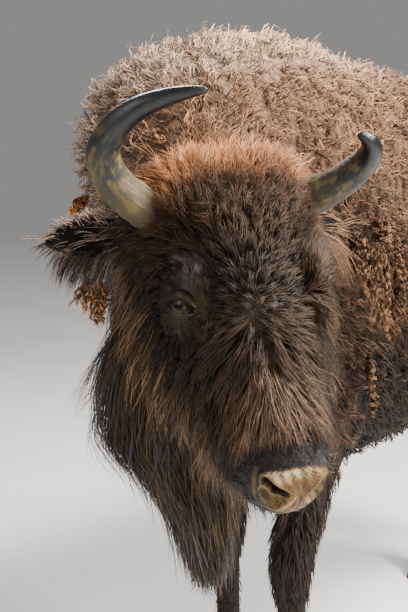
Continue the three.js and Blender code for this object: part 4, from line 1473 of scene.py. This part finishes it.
# Wool that is being shed hangs in matted clumps: under the right ear, above it, and down the left
# shoulder. Each row is where a clump starts, how far it hangs, and its girth, all in mm and from the
# ground under the withers.
CLUMPS = (np.array([[-92, -448, 1178, -22, -18, -84, 11], [-76, -446, 1168, -14, -10, -94, 12],
                    [-100, -442, 1186, -36, -28, -72, 10], [-60, -452, 1160, -8, -6, -84, 11],
                    [10, -566, 1352, -18, -14, -42, 9], [0, -560, 1344, -26, -20, -26, 8],
                    [318, -112, 1268, 10, -4, -92, 14], [320, -84, 1250, 8, -2, -130, 15],
                    [322, -52, 1226, 8, 0, -150, 16], [326, -20, 1214, 8, 2, -160, 17],
                    [336, 14, 1246, 8, 4, -120, 15], [332, 34, 1200, 6, 6, -150, 16],
                    [318, -2, 1130, 6, 2, -110, 13], [314, 40, 1120, 6, 4, -120, 13],
                    [330, -60, 1290, 8, 0, -70, 13], [334, -24, 1296, 8, 0, -76, 14],
                    [270, 16, 990, 8, 0, -74, 10], [266, 30, 968, 6, 2, -60, 9],
                    [256, 60, 900, 6, 0, -70, 10]]) / 1000)
rng = np.random.default_rng(43)
yarns, each, steps = 6, 6, 12
clump = np.repeat(np.arange(len(CLUMPS)), yarns * each)
yarn = np.repeat(np.arange(len(CLUMPS) * yarns), each)
number = len(clump)
t = np.linspace(0, 1, steps + 1)[None, :, None]
spread = rng.normal(size=(len(CLUMPS) * yarns, 3)) * [0.5, 0.5, 0.25]
reach = CLUMPS[clump, None, 3:6] * rng.uniform(0.65, 1.05, len(CLUMPS) * yarns)[yarn][:, None, None]
girth = CLUMPS[clump, 6][:, None, None]
line = (WITHERS + CLUMPS[clump, None, :3] + reach * t + spread[yarn][:, None] * girth
        * np.sin(np.pi * (0.12 + 0.74 * t)))
turns = rng.uniform(2.2, 3.6, len(CLUMPS) * yarns)[yarn][:, None]
phase = ((rng.random(len(CLUMPS) * yarns) * 6.3)[yarn][:, None] + rng.normal(0, 0.35, (number, 1))
         + turns * 2 * np.pi * t[..., 0])
line = (line + 0.0052 * np.stack([np.cos(phase), np.sin(phase), 0.4 * np.sin(phase)], -1)
        * ramp(t, 0, 0.15) + rng.normal(size=(number, 1, 3)) * 0.0016)
up = unit(np.stack([np.cos(phase), np.sin(phase), 0 * phase], -1))
shade = blend(paint(104, 72, 46), paint(156, 116, 84), rng.random(len(CLUMPS)))
# Painted light: the clumps by the right ear are painted a pale gold, as if lit from behind
shade = (shade * np.where(CLUMPS[:, :1] < 0.02, [3.0, 2.8, 2.2], 1.0))[clump][:, None]
# Darker where each yarn starts, as painted shade deep in the clump.
shade = (shade * rng.uniform(0.45, 1.35, len(CLUMPS) * yarns)[yarn][:, None, None]
         * rng.uniform(0.8, 1.2, (number, 1, 1)) * (0.7 + 0.4 * t))
strands("wool_clumps", line, up, rng.uniform(0.0012, 0.0020, number), shade)

# ---------------------------------------------------------------------------------------------------------
# Coat of the back, flanks, belly and rump. Shorter, and lying back along the body. The wool passes into it
# behind the shoulders along an uneven edge.
# ---------------------------------------------------------------------------------------------------------


def trunk_share(points):
    """Where the coat of the trunk grows: on the body, but for the wool, throat and dock."""
    return (on_body(points) * (1 - wool_share(points)) * (1 - throat_share(points))
            * ramp((points - WITHERS)[:, 1], 1.335, 1.31))


for name, start, end, locks, tip, seed in (("coat_back", 1.05, 1.15, 1750, 1.3, 51),
                                           ("coat_flank", 1.15, 1.05, 1800, 1.25, 52)):
    coat(name, lambda p: trunk_share(p) * ramp(p[:, 2], start, end), locks, 4, 0.048, coat_depth,
         0.0019, steps=3, stray=0.35, wave=0.002, light=(0.7, 1.3), root=0.45, tip=tip, seed=seed)

# ---------------------------------------------------------------------------------------------------------
# Coat of the legs. Longer on the forelegs above the knee, and close below. It ends just over the hooves.
# The hide under it is dark, and darkened further as painted shade among the hair, so that a thin coat
# will do.
# ---------------------------------------------------------------------------------------------------------


def leg_share(points):
    """Where the coat of the legs grows, down to just over the hooves."""
    b = points - WITHERS
    return ((1 - head_share(points)) * ramp(b[:, 2], 0.68, 0.62) * ramp(b[:, 2], 0.055, 0.075)
            * ramp(b[:, 1], 1.335, 1.31))


def leg_length(points):
    b = points - WITHERS
    return (0.018 + 0.040 * ramp(b[:, 2], 0.34, 0.55) * ramp(b[:, 1], 0.6, 0.3)
            + 0.008 * ramp(b[:, 2], 0.4, 0.6))


coat("coat_legs", leg_share, 1900, 4, leg_length, lambda p: coat_depth(p) * 1.1,
     lambda p: 0.0010 + 0.0008 * ramp(p[:, 2], 0.3, 0.55), droop=0.25, steps=2, close=0.6, stray=0.2,
     light=(0.7, 1.4), root=0.55, tip=1.25, seed=61)

# ---------------------------------------------------------------------------------------------------------
# Tail. A short dock under long coarse hair that falls to below the hocks. The hair follows circles down a
# line, and its tone changes round the tail so that it looks parted into locks.
# ---------------------------------------------------------------------------------------------------------
# Rows down the tail: x, y and z from the foot of the withers, then the radius, all in mm
TAIL = (np.array([[0, 1288, 1420, 40], [0, 1345, 1370, 34], [0, 1374, 1280, 28], [0, 1378, 1150, 27],
                  [0, 1372, 1010, 34], [0, 1366, 880, 46], [0, 1362, 740, 42], [0, 1358, 620, 26],
                  [0, 1356, 560, 9]]) / 1000)
rng = np.random.default_rng(71)
number, steps = 1400, 5
start, angle, deep = (rng.random(number) ** 1.1 * 0.74 + 0.03, rng.random(number) * 2 * np.pi,
                      np.sqrt(rng.uniform(0.2, 1.0, number)))
run = rng.uniform(0.16, 0.30, number)
t = np.linspace(0, 1, steps + 1)


def in_tail(down, angle, share):
    """A place in the tail: so far down it, at an angle round it, and at a share of its radius."""
    row = curve(TAIL, down)
    ring = np.stack([np.cos(angle), np.sin(angle), 0 * angle], 1)
    return WITHERS + row[:, :3] + ring * (row[:, 3] * share)[:, None]


line = np.stack([in_tail(np.minimum(start + run * s, 1.0), angle + 0.3 * s * np.sin(angle * 5), deep)
                 for s in t], 1)
line += rng.normal(size=(number, 3))[:, None] * 0.015 * t[None, :, None] ** 1.5
line[..., 2] -= 0.045 * t * rng.random((number, 1)) * (start[:, None] > 0.5)
up = unit(line - in_tail(start, angle, 0 * deep)[:, None])
lock = 1 + 0.35 * np.sin(9 * angle + 6 * start) + 0.2 * np.sin(23 * angle)
# Darker towards the roots, as painted shade deep in the tail.
shade = (np.tile(paint(58, 43, 32), (number, 1))[:, None]
         * (lock * rng.uniform(0.5, 1.5, number))[:, None, None] * (0.6 + 0.6 * t[None, :, None]))
strands("coat_tail", line, up, rng.uniform(0.0012, 0.0022, number), shade)

# ---------------------------------------------------------------------------------------------------------
# Hair of the ears. A pale fringe on the upper edge, a long dark one under the lower edge, and sparse pale
# hair in the dark hollow.
# ---------------------------------------------------------------------------------------------------------
EAR_HUES = {"right": (paint(44, 36, 33), paint(168, 142, 128)),
            "left": (paint(92, 66, 46), paint(150, 116, 88))}
for word, (leaf, faces, toward, rise, side) in ears.items():
    # Roots in proportion to area, most on the two edges and few in the hollow. The upper edge's hair
    # stands up, the lower edge's hangs long, and the rest leaves towards the tip; all bend down by the
    # square of the share of their length.
    rng = np.random.default_rng(81)
    locks, each, steps = 330, 5, 4
    number, g = locks * each, np.repeat(np.arange(locks), each)
    corners = leaf[faces]
    normal = np.cross(corners[:, 2] - corners[:, 0], corners[:, 3] - corners[:, 1])
    across = (corners.mean(1) - leaf.mean(0)) @ side
    hollow = ramp(unit(normal) @ rise, 0.2, 0.5) * ramp(np.abs(across), 0.032, 0.022)
    at_edges = (0.4 + ramp(np.abs(across), 0.010, 0.034)) * (1 - 0.78 * hollow)
    chosen, _ = choose(np.linalg.norm(normal, axis=1) * at_edges, locks, rng)
    root = corners[chosen].mean(1)[g] + rng.normal(size=(number, 3)) * 0.0035
    normal, across, hollow = unit(normal[chosen])[g], across[chosen][g], hollow[chosen][g]
    upper, lower = ramp(across, 0.010, 0.030), ramp(-across, 0.010, 0.030)
    tipward = toward / np.linalg.norm(toward)
    way = (1 - 0.45 * upper - 0.5 * lower)[:, None] * tipward + (1.0 * upper - 0.5 * lower)[:, None] * side
    way = unit(way + 0.30 * normal + rng.normal(0, 0.18, (locks, 3))[g])
    long = (((0.016 if word == "right" else 0.032) + 0.012 * rng.random(locks))[g]
            * rng.uniform(0.7, 1.1, number))
    long = (long * (1 + 0.45 * lower + 0.7 * hollow - 0.25 * upper))[:, None, None]
    t = np.linspace(0, 1, steps + 1)[None, :, None]
    fall = (0.30 + 0.65 * lower)[:, None, None] * np.array([0, 0, -1])
    line = (root[:, None]
            + long * (way[:, None] * t + fall * t**2 + rng.normal(0, 0.1, (number, 1, 3)) * t**1.5))
    dark, pale = EAR_HUES[word]
    hue = blend(dark, pale,
                np.clip(0.25 * ramp(soft(root, 0.02, 82), -0.3, 0.9) + 0.7 * upper
                        + 0.7 * hollow, 0, 0.9))
    # Darker towards the roots, as painted shade deep in the fringes.
    shade = hue[:, None] * rng.uniform(0.6, 1.4, locks)[g][:, None, None] * (0.6 + 0.75 * t)
    strands(f"coat_ear_{word}", line, np.repeat(normal[:, None], steps + 1, 1),
            rng.uniform(0.0005, 0.0010, number), shade)

# ---------------------------------------------------------------------------------------------------------
# Studio. A pale floor, a broad key light from above and behind, a rim light on each side, two soft fills
# from the front, and a camera at the height of the head.
# ---------------------------------------------------------------------------------------------------------
floor = build("floor", [[-9, -9, 0], [9, -9, 0], [9, 9, 0], [-9, 9, 0]], [[[0, 1, 2, 3]]])
floor.data.materials.append(finish("floor",
                                   lambda first: noise(first, 3, 2).spread(0.2, 0.8, 0.70, 0.74).grey(),
                                   lambda first: noise(first, 8, 2).spread(0.2, 0.8, 0.8, 0.9)))


def lamp(name, at, toward, size, power, colour):
    """A square soft light that faces a point."""
    light = bpy.data.lights.new(name, "AREA")
    light.size, light.energy, light.color = size, power, colour
    holder = bpy.data.objects.new(name, light)
    holder.matrix_world = (Vector(toward) - Vector(at)).to_track_quat("-Z", "Y").to_matrix().to_4x4()
    holder.location = at
    bpy.context.scene.collection.objects.link(holder)


lamp("key", (2.1, 1.0, 4.3), (0.1, -0.6, 1.35), 1.1, 780, (1.0, 0.96, 0.9))
lamp("rim", (3.4, -0.2, 2.6), (0.2, -0.7, 1.2), 1.1, 190, (1.0, 0.97, 0.93))
lamp("left rim", (-2.2, 1.2, 3.2), (0.1, -0.9, 1.1), 1.1, 120, (1.0, 0.97, 0.93))
lamp("fill", (-0.4, -4.2, 3.7), (0.2, -0.8, 1.1), 2.4, 80, (1.0, 0.98, 0.95))
lamp("front", (3.4, -3.6, 1.4), (0.2, -0.8, 1.1), 2.0, 40, (1.0, 0.98, 0.95))

world = bpy.data.worlds.new("studio")
world.use_nodes = True
world.node_tree.nodes["Background"].inputs["Color"].default_value = (0.93, 0.92, 0.90, 1)
world.node_tree.nodes["Background"].inputs["Strength"].default_value = 0.29
bpy.context.scene.world = world

CAMERA_AT, CAMERA_AHEAD = (1.38942, -2.33940, 1.53), (-0.63237, 0.75362, -0.17935)
SENSOR = 36  # mm
PICTURE_HEIGHT, FOCAL_LENGTH = 612, 1130  # both in the picture's dots
lens = bpy.data.cameras.new("camera")
lens.sensor_width, lens.lens = SENSOR, FOCAL_LENGTH / PICTURE_HEIGHT * SENSOR
lens.clip_start, lens.clip_end = 0.05, 60
camera = bpy.data.objects.new("camera", lens)
camera.matrix_world = Vector(CAMERA_AHEAD).to_track_quat("-Z", "Y").to_matrix().to_4x4()
camera.location = CAMERA_AT
bpy.context.scene.collection.objects.link(camera)
bpy.context.scene.camera = camera
